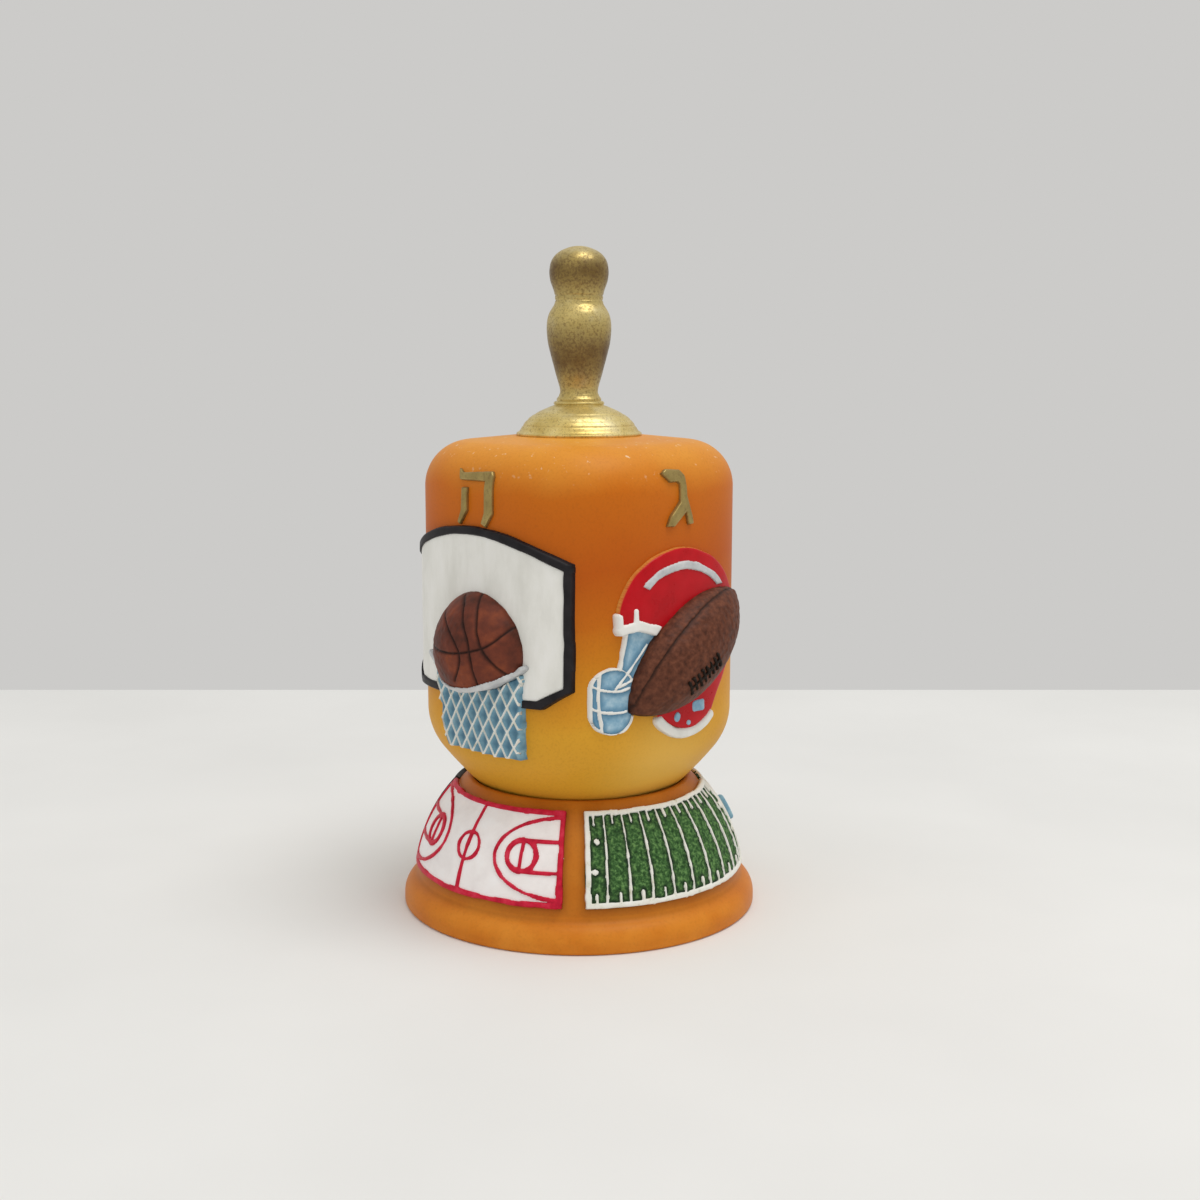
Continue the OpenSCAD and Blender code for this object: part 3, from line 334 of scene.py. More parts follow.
GRASS = painted_resin("stippled_grass", ["#234a1f", "#386a2f", "#568c44"], 0.6, 0.5, 0.3, 0.05,
                      seam_and_shade="#16331a", stops=(0.36, 0.5, 0.64)), "field_green"
SAND = painted_resin("sand_tan", ["#9c6f3a", "#bd8d52"], 0.55, 1.2), "sand_paint"
WOOD = painted_resin("bat_tan", ["#a87a42", "#be9155", "#cfa66c"], 0.42, 1.2,
                     streak=(1.0, 1.0, 0.12)), "sand_paint"


# Meshes

def add_piece(name, node, points, faces, finish, body, **paint):
    """A smooth mesh from points in millimetres, riding on a body, with its painted values by point."""
    material, slot = finish
    mesh = bpy.data.meshes.new(name)
    mesh.from_pydata((np.asarray(points) * MM).tolist(), [], [list(face) for face in faces])
    mesh.materials.append(material)
    for key, values in paint.items():
        layer = mesh.attributes.new(key, "FLOAT", "POINT")
        layer.data.foreach_set("value", np.asarray(values, float))
    mesh.shade_smooth()
    mesh.update()
    piece = bpy.data.objects.new(name, mesh)
    bpy.context.scene.collection.objects.link(piece)
    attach(piece, body)
    if node:
        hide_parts(node)


def cap_tube(points, rows, sides, first_z, last_z):
    """Points and faces of a tube of rows rings, closed with a point on the axis at each end."""
    count = len(points)
    here = np.arange(sides)
    following = (here + 1) % sides
    faces = []
    for low in range(0, (rows - 1) * sides, sides):
        high = low + sides
        faces += np.stack([low + here, low + following, high + following, high + here], 1).tolist()
    for i, j in zip(here.tolist(), following.tolist()):
        faces += [[count, j, i], [count + 1, count - sides + i, count - sides + j]]
    return np.concatenate([points, [[0, 0, first_z], [0, 0, last_z]]]), faces


def lathe(profile, sides):
    """Points and faces of a profile of [radius, height] turned about Z. Its ends lie on the axis."""
    profile = np.asarray(profile, float)
    inner = profile[1:-1]
    turn = np.linspace(0, 2 * pi, sides, endpoint=False)
    points = np.stack([inner[:, :1] * np.cos(turn), inner[:, :1] * np.sin(turn),
                       np.repeat(inner[:, 1:], sides, 1)], 2).reshape(-1, 3)
    return cap_tube(points, len(inner), sides, profile[0, 1], profile[-1, 1])


def ease(t):
    return t * t * (3 - 2 * t)


def noise(x, y, size, seed):
    """Smooth noise between -1 and 1 whose bumps are about size wide."""
    cells = 64
    heights = np.random.default_rng(seed).uniform(-1, 1, (cells, cells))
    column = np.floor(x / size).astype(int)
    row = np.floor(y / size).astype(int)
    across = ease(x / size - column)
    up = ease(y / size - row)

    def corner(i, j):
        return heights[(column + i) % cells, (row + j) % cells]

    low = corner(0, 0) * (1 - across) + corner(1, 0) * across
    high = corner(0, 1) * (1 - across) + corner(1, 1) * across
    return low * (1 - up) + high * up


# Drawings: each takes arrays x and y and gives the signed distance, negative inside

def disc(at, r):
    return lambda x, y: np.hypot(x - at[0], y - at[1]) - r


def ring(at, r, w):
    return cut(disc(at, r + w / 2), disc(at, r - w / 2))


def rectangle(half_w, half_h, at=(0, 0)):
    def drawing(x, y):
        across, up = np.abs(x - at[0]) - half_w, np.abs(y - at[1]) - half_h
        return np.hypot(np.maximum(across, 0), np.maximum(up, 0)) + np.minimum(np.maximum(across, up), 0)

    return drawing


def off_line(x, y, a, b):
    """Distance from the straight line between two points."""
    ex, ey = b[0] - a[0], b[1] - a[1]
    t = np.clip(((x - a[0]) * ex + (y - a[1]) * ey) / max(ex * ex + ey * ey, 1e-9), 0, 1)
    return np.hypot(x - a[0] - t * ex, y - a[1] - t * ey)


def outline(points):
    """The inside of a closed line through points."""
    points = [tuple(p) for p in points]

    def drawing(x, y):
        near = np.full(x.shape, np.inf)
        inside = np.zeros(x.shape, bool)
        for a, b in zip(points, points[1:] + points[:1]):
            near = np.minimum(near, off_line(x, y, a, b))
            if a[1] != b[1]:
                crossing = (b[0] - a[0]) * (y - a[1]) / (b[1] - a[1]) + a[0]
                inside ^= ((a[1] > y) != (b[1] > y)) & (x < crossing)
        return np.where(inside, -near, near)

    return drawing


def stroke(points, w=HAIR):
    """A brush stroke of width w along open points, with round ends."""
    points = [tuple(p) for p in points]
    pairs = list(zip(points, points[1:]))
    return lambda x, y: np.minimum.reduce([off_line(x, y, a, b) for a, b in pairs]) - w / 2


def spoke(at, r, turn):
    """The point at a distance and a turn, in radians, from another."""
    return at[0] + r * cos(turn), at[1] + r * sin(turn)


def arc(at, r, start, end, count=24):
    """Points along an arc, in degrees."""
    turn = np.radians(np.linspace(start, end, count))
    return np.stack([at[0] + r * np.cos(turn), at[1] + r * np.sin(turn)], 1)


def smooth(points, count=8):
    """Points of a smooth curve through the given points."""
    p = np.asarray(points, float)
    p = np.concatenate([[2 * p[0] - p[1]], p, [2 * p[-1] - p[-2]]])
    t = np.linspace(0, 1, count, endpoint=False)[:, None]
    spans = [(2 * b + (c - a) * t + (2 * a - 5 * b + 4 * c - d) * t ** 2
              + (3 * b - a - 3 * c + d) * t ** 3) / 2 for a, b, c, d in zip(p, p[1:], p[2:], p[3:])]
    return np.concatenate(spans + [p[-2:-1]])


def comb(along, pitch):
    """Distance from the nearest of evenly spaced lines, one of which lies at 0."""
    return np.abs((along + pitch / 2) % pitch - pitch / 2)


def join(*drawings):
    return lambda x, y: np.minimum.reduce([d(x, y) for d in drawings])


def meet(*drawings):
    return lambda x, y: np.maximum.reduce([d(x, y) for d in drawings])


def cut(drawing, *tools):
    return lambda x, y: np.maximum.reduce([drawing(x, y)] + [-t(x, y) for t in tools])


def grow(drawing, r):
    return lambda x, y: drawing(x, y) - r


def hand_drawn(drawing, depth, size, seed):
    """The drawing with the wavering edge of a brush."""
    return lambda x, y: drawing(x, y) + depth * noise(x, y, size, seed)


# Places: where a flat drawing lies on the object, and how far above the surface

def turned(x, y, z, face):
    c, s = (1, 0, -1, 0)[face], (0, 1, 0, -1)[face]
    return np.stack([c * x - s * y, s * x + c * y, z], -1)


def wall_depth(x, t=0.0):
    """Distance of the wall, grown by t, from the axis at x across the face."""
    return np.maximum((BODY_HALF + t) ** SQUARE - np.abs(x) ** SQUARE, 0) ** (1 / SQUARE)


def on_wall(face):
    return lambda x, y, t: turned(x, -wall_depth(x, t), WALL_Z + y, face)


def before_wall(face):
    """Like on_wall, but the height is measured from the flat plane that touches the middle of the face."""
    return lambda x, y, t: turned(x, -BODY_HALF - t, WALL_Z + y, face)


def wall_back(x, t):
    """Height of the grown wall, measured from that flat plane."""
    return wall_depth(x, t) - BODY_HALF


def sunk_in_wall(t):
    """Foot of a ball that stands on the grown wall."""
    return lambda x, y: wall_back(x, t) - SINK


def on_shoulder(face):
    """Follows the wall and the rounded shoulder above it."""
    def skin(x, y):
        rise = np.clip((WALL_Z + y - WALL_TOP) / SHOULDER_R, 0, 0.999)
        half = (CORNER_R - SHOULDER_R * (1 - np.sqrt(1 - rise ** 2))) / CORNER_K
        depth = np.maximum(half ** SQUARE - np.abs(x) ** SQUARE, 0) ** (1 / SQUARE)
        return np.stack([x, -depth, WALL_Z + y], -1)

    def place(x, y, t):
        e = 0.01
        out = np.cross(skin(x + e, y) - skin(x - e, y), skin(x, y + e) - skin(x, y - e))
        out /= np.linalg.norm(out, axis=-1, keepdims=True)
        at = skin(x, y) + out * np.asarray(t)[..., None]
        return turned(at[..., 0], at[..., 1], at[..., 2], face)

    return place


DOME_FOOT = np.array([DOME_FOOT_R, PLINTH_H])
DOME_RIM = np.array([CUP_R + LIP_W, STAND_H])
DOME_CHORD = DOME_RIM - DOME_FOOT
DOME_SIDE = np.hypot(*DOME_CHORD)
DOME_C = (DOME_FOOT + DOME_RIM) / 2 + sqrt(DOME_R ** 2 - (DOME_SIDE / 2) ** 2) * np.array(
    [-DOME_CHORD[1], DOME_CHORD[0]]) / DOME_SIDE
LEAN_FOOT = atan2(DOME_FOOT[1] - DOME_C[1], DOME_FOOT[0] - DOME_C[0])
LEAN_RIM = atan2(DOME_RIM[1] - DOME_C[1], DOME_RIM[0] - DOME_C[0])
FIELD_LEAN = (LEAN_FOOT + FIELD_LOW / DOME_R + LEAN_RIM - FIELD_HIGH / DOME_R) / 2
FIELD_UP = (LEAN_RIM - FIELD_HIGH / DOME_R - LEAN_FOOT - FIELD_LOW / DOME_R) / 2 * DOME_R
FIELD_RING = DOME_C[0] + DOME_R * cos(FIELD_LEAN)
FIELD_X = FIELD_HALF * FIELD_RING
COURT_X0, COURT_X1 = -COURT_LEFT * FIELD_RING, COURT_RIGHT * FIELD_RING


def field_turn(face):
    return radians(90 * face - 90)


def on_dome(face):
    """A field laid on the stand's dome, in arc lengths round and up from the field's middle."""
    def place(x, y, t):
        turn = x / FIELD_RING + field_turn(face)
        lean = FIELD_LEAN + y / DOME_R
        r = DOME_C[0] + (DOME_R + t) * np.cos(lean)
        return np.stack([r * np.cos(turn), r * np.sin(turn), DOME_C[1] + (DOME_R + t) * np.sin(lean)], -1)

    return place


# Raising a drawing

RIM_SHARE, LEAST_SLOPE, EDGE_W, ROUGH_FROM = 0.75, 0.25, 0.5, 0.3


def raised(drawing, height, place, box, step=FINE, base=-SINK, low=None):
    """A closed relief of the inside of a drawing: its rim is sunk to base, the rest is at height(x, y, d).
    Gives points, faces, and the painted values edge, 0 at the rim to 1 inside, and low, 1 in a groove, which
    also carries painted shade."""
    x, y = np.meshgrid(np.arange(box[0], box[2] + step, step), np.arange(box[1], box[3] + step, step))
    d = drawing(x, y)
    kept = d < RIM_SHARE * step
    cell = kept[:-1, :-1] & kept[1:, :-1] & kept[:-1, 1:] & kept[1:, 1:]
    around = np.zeros(d.shape, int)
    for i in (slice(None, -1), slice(1, None)):
        for j in (slice(None, -1), slice(1, None)):
            around[i, j] += cell
    inner = around == 4
    rim = (around > 0) & ~inner
    dy, dx = np.gradient(d, step)
    slope = np.maximum(dx * dx + dy * dy, LEAST_SLOPE)
    move = np.clip(d / slope, -step, step) * rim
    x, y = x - move * dx, y - move * dy
    d = np.where(rim, 0, d)
    foot = base(x, y) if callable(base) else np.full(d.shape, base)
    top = place(x, y, np.where(rim, foot, height(x, y, np.minimum(d, 0))))
    bottom = place(x, y, foot)
    shown = np.where(around > 0)
    under = np.where(inner)
    top_id = np.full(d.shape, -1)
    top_id[shown] = np.arange(len(shown[0]))
    bottom_id = top_id.copy()
    bottom_id[under] = len(shown[0]) + np.arange(len(under[0]))
    rows, columns = np.where(cell)
    corners = [(rows, columns), (rows, columns + 1), (rows + 1, columns + 1), (rows + 1, columns)]
    faces = np.concatenate([np.stack([top_id[c] for c in corners], 1),
                            np.stack([bottom_id[c] for c in reversed(corners)], 1)])
    edge = np.clip(-d / EDGE_W, 0, 1)
    # low marks grooves and painted shade
    groove_and_shade = low(x, y) if low else np.zeros(d.shape)
    paint = {key: np.concatenate([values[shown], values[under]])
             for key, values in (("edge", edge), ("low", groove_and_shade))}
    return np.concatenate([top[shown], bottom[under]]), faces, paint


def rounded(bottom, top, edge=0.35, pillow=0.0, spread=4.0):
    """Height from bottom to top with a rounded edge, swelling by pillow over the spread from the edge."""
    def height(x, y, d):
        bend = np.sqrt(1 - (1 - np.clip(-d / edge, 0, 1)) ** 2)
        swell = pillow * np.sqrt(1 - (1 - np.clip(-d / spread, 0, 1)) ** 2)
        return bottom + (top - bottom) * bend + swell

    return height


def rough(height, depth, size, seed):
    """A height with a cast or stippled surface."""
    return lambda x, y, d: height(x, y, d) + depth * noise(x, y, size, seed) * np.clip(-d / ROUGH_FROM, 0, 1)


def add_relief(name, node, drawing, height, place, box, finish, body="dreidel", **settings):
    points, faces, paint = raised(drawing, height, place, box, **settings)
    add_piece(name, node, points, faces, finish, body, **paint)


# Body, stem, core pin and stand

def body_rings():
    """Corner radius, height and squareness of each ring from the tip to the stem's seat."""
    heel_in = CORNER_R - HEEL_R * (1 - cos(HEEL_LEAN))
    heel_z = WALL_Z - HEEL_R * sin(HEEL_LEAN)
    tip_lean = acos((BELLY_R * cos(HEEL_LEAN) - heel_in) / (BELLY_R - TIP_R))
    rings = [(TIP_R * sin(q), TIP_Z + TIP_R * (1 - cos(q)))
             for q in np.linspace(0, pi / 2 - tip_lean, TIP_RINGS)[1:]]
    rings += [(heel_in - BELLY_R * (cos(HEEL_LEAN) - cos(q)),
               heel_z - BELLY_R * (sin(q) - sin(HEEL_LEAN)))
              for q in np.linspace(tip_lean, HEEL_LEAN, BELLY_RINGS)[1:]]
    rings += [(CORNER_R - HEEL_R * (1 - cos(q)), WALL_Z - HEEL_R * sin(q))
              for q in np.linspace(HEEL_LEAN, 0, HEEL_RINGS)[1:]]
    rings += [(CORNER_R, z) for z in np.linspace(WALL_Z, WALL_TOP, WALL_RINGS)[1:]]
    rings += [(CORNER_R - SHOULDER_R * (1 - cos(q)), WALL_TOP + SHOULDER_R * sin(q))
              for q in np.linspace(0, SHOULDER_END, SHOULDER_RINGS)[1:]]
    squares = [2 + (SQUARE - 2) * ease(min(1, (z - TIP_Z) / (WALL_Z - TIP_Z))) ** ROUND_LOW for _, z in rings]
    shoulder, seat = rings[-1][0], COLLAR_D / 2 + SEAT_RIM
    for t in np.linspace(0, 1, CROWN_RINGS)[1:]:
        rings.append((shoulder + (seat - shoulder) * t, SHOULDER_Z + CROWN_H * t))
        squares.append(SQUARE + (2 - SQUARE) * t)
    return rings, squares


def make_body():
    rings, squares = body_rings()
    turn = np.linspace(0, 2 * pi, BODY_SIDES, endpoint=False)
    c, s = np.abs(np.cos(turn)), np.abs(np.sin(turn))
    points = []
    for (corner, z), n in zip(rings, squares):
        r = corner * 2 ** (1 / n - 1 / 2) / (c ** n + s ** n) ** (1 / n)
        points.append(np.stack([r * np.cos(turn), r * np.sin(turn), np.full(BODY_SIDES, z)], 1))
    points, faces = cap_tube(np.concatenate(points), len(rings), BODY_SIDES, TIP_Z, BODY_TOP)
    add_piece("body_shell", "dreidel_body", points, faces, BODY_PAINT, "dreidel")


def stem_profile():
    """Radius by height above the body: domed collar, beaded waist, finger grip, neck and knob."""
    curve = smooth(STEM_CURVE)
    curve[:, 0] -= TURNED_DEPTH * np.exp(-((curve[:, 1:] - TURNED_LINES) / TURNED_W) ** 2).sum(1)
    return np.concatenate([[(0, 0), (COLLAR_D / 2, 0), (COLLAR_D / 2, COLLAR_LIP)], curve, [(0, STEM_H)]])


def make_stem():
    points, faces = lathe(stem_profile() + [0, BODY_TOP], STEM_SIDES)
    up = points[:, 2] - BODY_TOP
    # Bands of painted dark reflection on the grip and the knob
    painted_reflection = sum(np.exp(-((up - at) / spread) ** 2) for at, spread in DARK_REFLECTION_BANDS)
    add_piece("turned_stem", "stem", points, faces, STEM_GOLD, "dreidel", low=painted_reflection)


def stand_profile():
    cup_ball = (CUP_R ** 2 + CUP_DEPTH ** 2) / (2 * CUP_DEPTH)
    cup_z = STAND_H - CUP_DEPTH + cup_ball
    foot = arc((PLINTH_R - FOOT_ROUND, FOOT_ROUND), FOOT_ROUND, -90, 0, 8)
    edge = arc((PLINTH_R - PLINTH_ROUND, PLINTH_H - PLINTH_ROUND), PLINTH_ROUND, 0, FILLET_FROM, 24)
    dome = arc(DOME_C, DOME_R, degrees(LEAN_FOOT + FILLET_UP / DOME_R), degrees(LEAN_RIM), 70)
    t = np.linspace(0, 1, 12)[1:-1, None]
    fillet = (1 - t) ** 2 * edge[-1] + 2 * t * (1 - t) * DOME_FOOT + t ** 2 * dome[0]
    lip = arc((LIP_IN + LIP_ROLL / 4, STAND_H - LIP_ROLL / 4), LIP_ROLL / 4, 90, 200, 8)
    mouth = degrees(asin((STAND_H - LIP_ROLL - cup_z) / cup_ball))
    cup = arc((0, cup_z), cup_ball, mouth, -90, 60)
    return np.concatenate([[[0, 0]], foot, edge, fillet, dome, lip, cup])


def field_sides(face):
    """The two ends of a field, in arc length from its middle."""
    return (COURT_X0, COURT_X1) if face == BASKET else (-FIELD_X, FIELD_X)


def field_shape(face, inset=0.0):
    left, right = field_sides(face)
    return rectangle((right - left) / 2 - inset, FIELD_UP - inset, ((left + right) / 2, 0))


def make_stand():
    """The stand, with brown painted shade round the fields, at the dome's foot and in the cup."""
    points, faces = lathe(stand_profile(), STAND_SIDES)
    r, z = np.hypot(points[:, 0], points[:, 1]), points[:, 2]
    up = (np.arctan2(z - DOME_C[1], r - DOME_C[0]) - FIELD_LEAN) * DOME_R
    near = []
    for face in (BASKET, HELMET, GOAL, GLOVE):
        turn = np.arctan2(points[:, 1], points[:, 0]) - field_turn(face)
        across = ((turn + pi) % (2 * pi) - pi) * FIELD_RING
        near.append(field_shape(face)(across, up))
    # Painted shade: a little over the whole dome, more beside the fields, at the dome's foot and in the cup
    beside = np.exp(-np.maximum(np.minimum.reduce(near), 0) / FIELD_SHADE_W)
    on_skin = np.abs(np.hypot(z - DOME_C[1], r - DOME_C[0]) - DOME_R) < 0.05
    low = np.where(on_skin, DOME_SHADE + CORNER_SHADE * beside, 0)
    from_foot = np.hypot(r - DOME_FOOT_R, z - PLINTH_H)
    low = np.maximum(low, CORNER_SHADE * np.exp(-from_foot / FOOT_SHADE_W))
    in_cup = (z > 1) & (r < CUP_R + 0.05)
    low = np.where(in_cup, CUP_SHADE, low)
    add_piece("stand_shell", "stand", points, faces, STAND_PAINT, "stand", low=low)


PIN_BEVEL = 0.3


def make_core_pin():
    lowest, highest = (corner.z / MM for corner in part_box("core_pin"))
    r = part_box("core_pin")[1].x / MM
    profile = [(0, lowest), (r - PIN_BEVEL, lowest), (r, lowest + PIN_BEVEL),
               (r, highest - PIN_BEVEL), (r - PIN_BEVEL, highest), (0, highest)]
    points, faces = lathe(profile, PIN_SIDES)
    add_piece("steel_core_pin", "core_pin", points, faces, STEEL, "core")


# Basketball face

BOARD_W, BOARD_SIDE, BOARD_RISE, BOARD_LOW, BOARD_EDGE = 33.7, 18.1, 4.5, 6.4, 1.4
BOARD_MID, BOARD_WRAP, BOARD_FOOT, BOARD_FOOT_W, BOARD_EDGE_SIDE = -0.7, 1.5, 2.7, 0.78, 0.65
BOARD_LAP, BOARD_BOX = 0.4, (-20, 2, 17, 30)
BALL_AT, BALL_D, BALL_OUT, BALL_BOX = (1.1, 11.1), 17.2, 5.6, (-9, 2, 11, 21)
BALL_SEAM_W, BALL_SEAM_DEPTH = 0.55, 0.3
BALL_SEAMS = [
    [(-0.6, 19.0), (1.0, 17.9), (2.6, 15.6), (4.2, 13.1), (4.8, 10.1), (5.2, 5.0)],
    [(2.0, 19.9), (4.0, 17.0), (5.4, 13.9), (6.6, 11.6), (9.2, 7.8)],
    [(-3.6, 16.9), (0.4, 14.4), (2.7, 12.0), (2.9, 9.9), (1.4, 7.4)],
    [(-7.0, 12.6), (-3.7, 11.6), (1.1, 11.4), (4.8, 12.0), (7.1, 13.1), (8.8, 15.6)]]
HOOP_W, HOOP_SAG, HOOP_T, HOOP_OUT, HOOP_OVER = 19.4, 3.65, 0.9, 1.2, 0.3
HOOP_DROP, HOOP_SHIFT, HOOP_BOX = 5.2, -0.6, (-12, 2, 14, 14)
HOOP_R = ((HOOP_W / 2) ** 2 + HOOP_SAG ** 2) / (2 * HOOP_SAG)
HOOP_AT = (BALL_AT[0] + HOOP_SHIFT, BALL_AT[1] - HOOP_DROP + HOOP_R)
HOOP_HALF = degrees(asin(HOOP_W / 2 / HOOP_R))
NET_T, NET_TOP, NET_FOOT, NET_LEAN, NET_PITCH, CORD_W = 1.3, 9.7, -3.9, radians(58), 2.0, 0.36
NET_CORNERS = [(-9.1, NET_TOP), (-5.6, NET_FOOT), (9.4, NET_FOOT), (10.0, NET_TOP)]
NET_SAG, NET_SINK, NET_STEP, NET_SHADE, NET_SHADE_W = 0.3, 4.0, 0.09, 0.8, 0.6
CORD_SWAY, CORD_LAP, CORD_SINK = 0.07, 0.25, 0.6
NET_BOX = (HOOP_AT[0] - 11, -5, HOOP_AT[0] + 11, 12)


def board_outline(inset):
    w = BOARD_W / 2 - inset * BOARD_EDGE_SIDE
    foot, top = BOARD_LOW - BOARD_FOOT + inset, BOARD_LOW + BOARD_SIDE + BOARD_RISE
    bow = ((BOARD_W / 2) ** 2 + BOARD_RISE ** 2) / (2 * BOARD_RISE)
    left = -w - BOARD_WRAP
    corners = [(left, BOARD_LOW + inset / 2), (left * BOARD_FOOT_W, foot), (w * BOARD_FOOT_W, foot),
               (w, BOARD_LOW + inset / 2), (w, top), (left, top)]
    return meet(outline([(BOARD_MID + x, y) for x, y in corners]), disc((BOARD_MID, top - bow), bow - inset))


def cap_height(at, d, out, bottom):
    """Height of a ball cap of diameter d and height out above bottom, from the plane before the wall."""
    r = ((d / 2) ** 2 + out ** 2) / (2 * out)

    def height(x, y, _):
        rho = np.minimum(np.hypot(x - at[0], y - at[1]), r * 0.999)
        return bottom + out - r + np.sqrt(r * r - rho * rho)

    return height


def seam_low(drawing, w):
    """1 in the middle of a seam, falling to 0 at its edges."""
    return lambda x, y: np.clip(1 - drawing(x, y) / (w / 2), 0, 1)


def shade_off(drawing, most, w):
    """A shade that grows from 0 on a drawing to most at a distance w from it."""
    return lambda x, y: most * np.clip(drawing(x, y) / w, 0, 1)


def make_basket_face():
    wall, flat = on_wall(BASKET), before_wall(BASKET)
    inner = hand_drawn(board_outline(BOARD_EDGE), 0.07, 2.2, 3)
    brushed = rough(rounded(0, PLATE_T, 0.3), 0.025, 1.6, 4)
    add_relief("backboard_plate", "backboard", grow(inner, BOARD_LAP), brushed, wall, BOARD_BOX, WHITE,
               step=COARSE)
    trim = cut(hand_drawn(board_outline(0), 0.06, 2.4, 5), inner)
    bead = rough(rounded(0, PLATE_T + EDGING_T, 0.3), 0.03, 1.2, 6)
    add_relief("backboard_edging", "backboard_trim", trim, bead, wall, BOARD_BOX, BLACK)
    ball = hand_drawn(meet(disc(BALL_AT, BALL_D / 2), disc(HOOP_AT, HOOP_R)), 0.1, 1.4, 7)
    low = seam_low(join(*[stroke(smooth(points)) for points in BALL_SEAMS]), BALL_SEAM_W)
    cap = cap_height(BALL_AT, BALL_D, BALL_OUT, PLATE_T)
    pebbled = rough(lambda x, y, d: cap(x, y, d) - BALL_SEAM_DEPTH * low(x, y), 0.05, 0.5, 8)
    add_relief("basketball_cap", "basketball", ball, pebbled, flat, BALL_BOX, BALL_BROWN,
               base=sunk_in_wall(PLATE_T), low=low)

    def over_ball(x, y, d):
        top = np.maximum(wall_back(x, PLATE_T + HOOP_OUT), cap(x, y, d) + HOOP_OVER)
        return top - HOOP_OVER + rounded(0, HOOP_OVER, HOOP_T / 2)(x, y, d)

    hoop = stroke(arc(HOOP_AT, HOOP_R, -90 - HOOP_HALF, -90 + HOOP_HALF, 40), HOOP_T)
    add_relief("hoop_rim_band", "hoop_rim", hand_drawn(hoop, 0.1, 1.5, 9), over_ball, flat, HOOP_BOX,
               PALE_GREY, base=sunk_in_wall(PLATE_T))
    make_net(wall)


def make_net(wall):
    net = hand_drawn(cut(outline(NET_CORNERS), disc(HOOP_AT, HOOP_R + HOOP_T / 4)), 0.16, 1.1, 10)
    c, s = cos(NET_LEAN), sin(NET_LEAN)

    def cords(x, y):
        sway = CORD_SWAY * noise(x, y, 1.5, 12)
        crossing = [comb(-side * s * (x - HOOP_AT[0]) + c * y + sway, NET_PITCH) for side in (-1, 1)]
        return np.minimum(*crossing) - CORD_W / 2

    def sagging(x, y, d):
        return rounded(0, NET_T, 0.3)(x, y, d) - NET_SAG * np.clip(cords(x, y) / 0.5, 0, 1)

    add_relief("net_panel", "hoop_net", net, sagging, wall, NET_BOX, BLUE, base=-NET_SINK,
               low=shade_off(cords, NET_SHADE, NET_SHADE_W))
    add_relief("net_cord_mesh", "net_cords", meet(grow(net, -0.1), cords),
               rounded(NET_T - CORD_LAP, NET_T + EDGING_T, CORD_W / 2), wall, NET_BOX, LINE_WHITE,
               step=NET_STEP, base=NET_T - CORD_SINK)


# Helmet face

HELMET_AT, HELMET_BOX = (2.9, 14.3), (-18, -4, 15, 28)
CROWN = [(-9, 9), (-11.9, 13.5), (-12.1, 17.4), (-11.2, 20.4), (-9.4, 23.0), (-6.8, 24.8), (-3.6, 25.75),
         (-0.2, 26.0), (3.6, 25.3), (7.3, 23.6), (10.5, 20.9), (12.6, 17.6), (13.3, 14.0), (12.2, 9.2),
         (8, 5.5), (0, 4.5)]
FACE_CORNERS = [(-20, 15.6), (-9.2, 15.4), (-5.4, 14.3), (-5.6, 8), (-5.6, -2), (-20, -2)]
JAW_CORNERS = [(-5.6, 14), (-5.6, 1.6), (-4, 0), (0, -1), (5, -0.5), (6.7, 1.4), (8, 3.6), (12.5, 9.4),
               (13.3, 14.3)]
BROW, BROW_W = [(-11.7, 15.1), (-9.2, 15.5), (-5.4, 14.4)], 1.7
CLIPS, CLIP_W = [[(-12.15, 17.0), (-11.9, 14.7)], [(-9.7, 17.7), (-9.6, 15.0)]], 0.95
STRIPE_W, STRIPE_IN, STRIPE_FROM, STRIPE_TO = 1.4, 1.9, 30, 150
ROLL_AT, ROLL_R, ROLL_W, ROLL_FROM, ROLL_TO = (1.0, 7.0), 9.2, 1.7, -137, -51
EAR_AT, EAR_SIZE, EAR_ROUND = (2.9, 2.45), (2.9, 1.9), 0.5
EAR_DOTS = [(-1.7, 1.4, 0.75), (0.8, 0.25, 0.5)]
OPENING, OPENING_T = [(-10.8, 15.3), (-5.0, 14.4), (-5.0, 7), (-12, 6.5), (-11.5, 10)], 0.3
MASK_AT, MASK_R, MASK_HALF, MASK_RIM_W, MASK_T, MASK_STEP = (-12.6, 4.9), 3.05, 1.85, 0.42, 0.5, 0.11
MASK_BARS, BAR_W = [[(-3.2, 2.8), (-1.7, 1.8), (0.8, 1.5), (3.2, 2.1)],
                    [(-3.2, -0.5), (-1.7, -1.3), (0.8, -1.6), (3.2, -1.1)],
                    [(-1.7, 5.1), (-2.0, 2.0), (-1.9, -1.4), (-1.4, -5.1)]], 0.56
MASK_STAYS = [[(-7.4, 12.7), (-12.3, 6.8)], [(-7.6, 8.7), (-11.9, 7.0)], [(-10.7, 14.8), (-11.7, 9.4)]]
FOOTBALL_AT, FOOTBALL_L, FOOTBALL_D, FOOTBALL_TILT = (0.6, 10.9), 27.0, 13.0, radians(35)
FOOTBALL_BOW, FOOTBALL_END, FOOTBALL_OUT, FOOTBALL_POINTS = 2.2, 0.82, 0.87, 96
FOOTBALL_BOX, LACE_BOX = (-14, 0, 15, 22), (-6, 0, 12, 18)
LACE_COUNT, LACE_PITCH, LACE_L, LACE_W, LACE_SIDE, LACE_BACK, LACE_T = 8, 0.9, 2.6, 0.5, -1.4, -2.6, 0.4
SEAM_SHARES, SEAM_W, SEAM_DEPTH = (0.8, -0.9), 0.4, 0.3
UNDER_BALL, CLEAR_OF_BALL, STRIPE_CLEAR, ROLL_LAP, ROLL_EDGE = -0.6, 0.1, 0.3, 0.3, 0.6
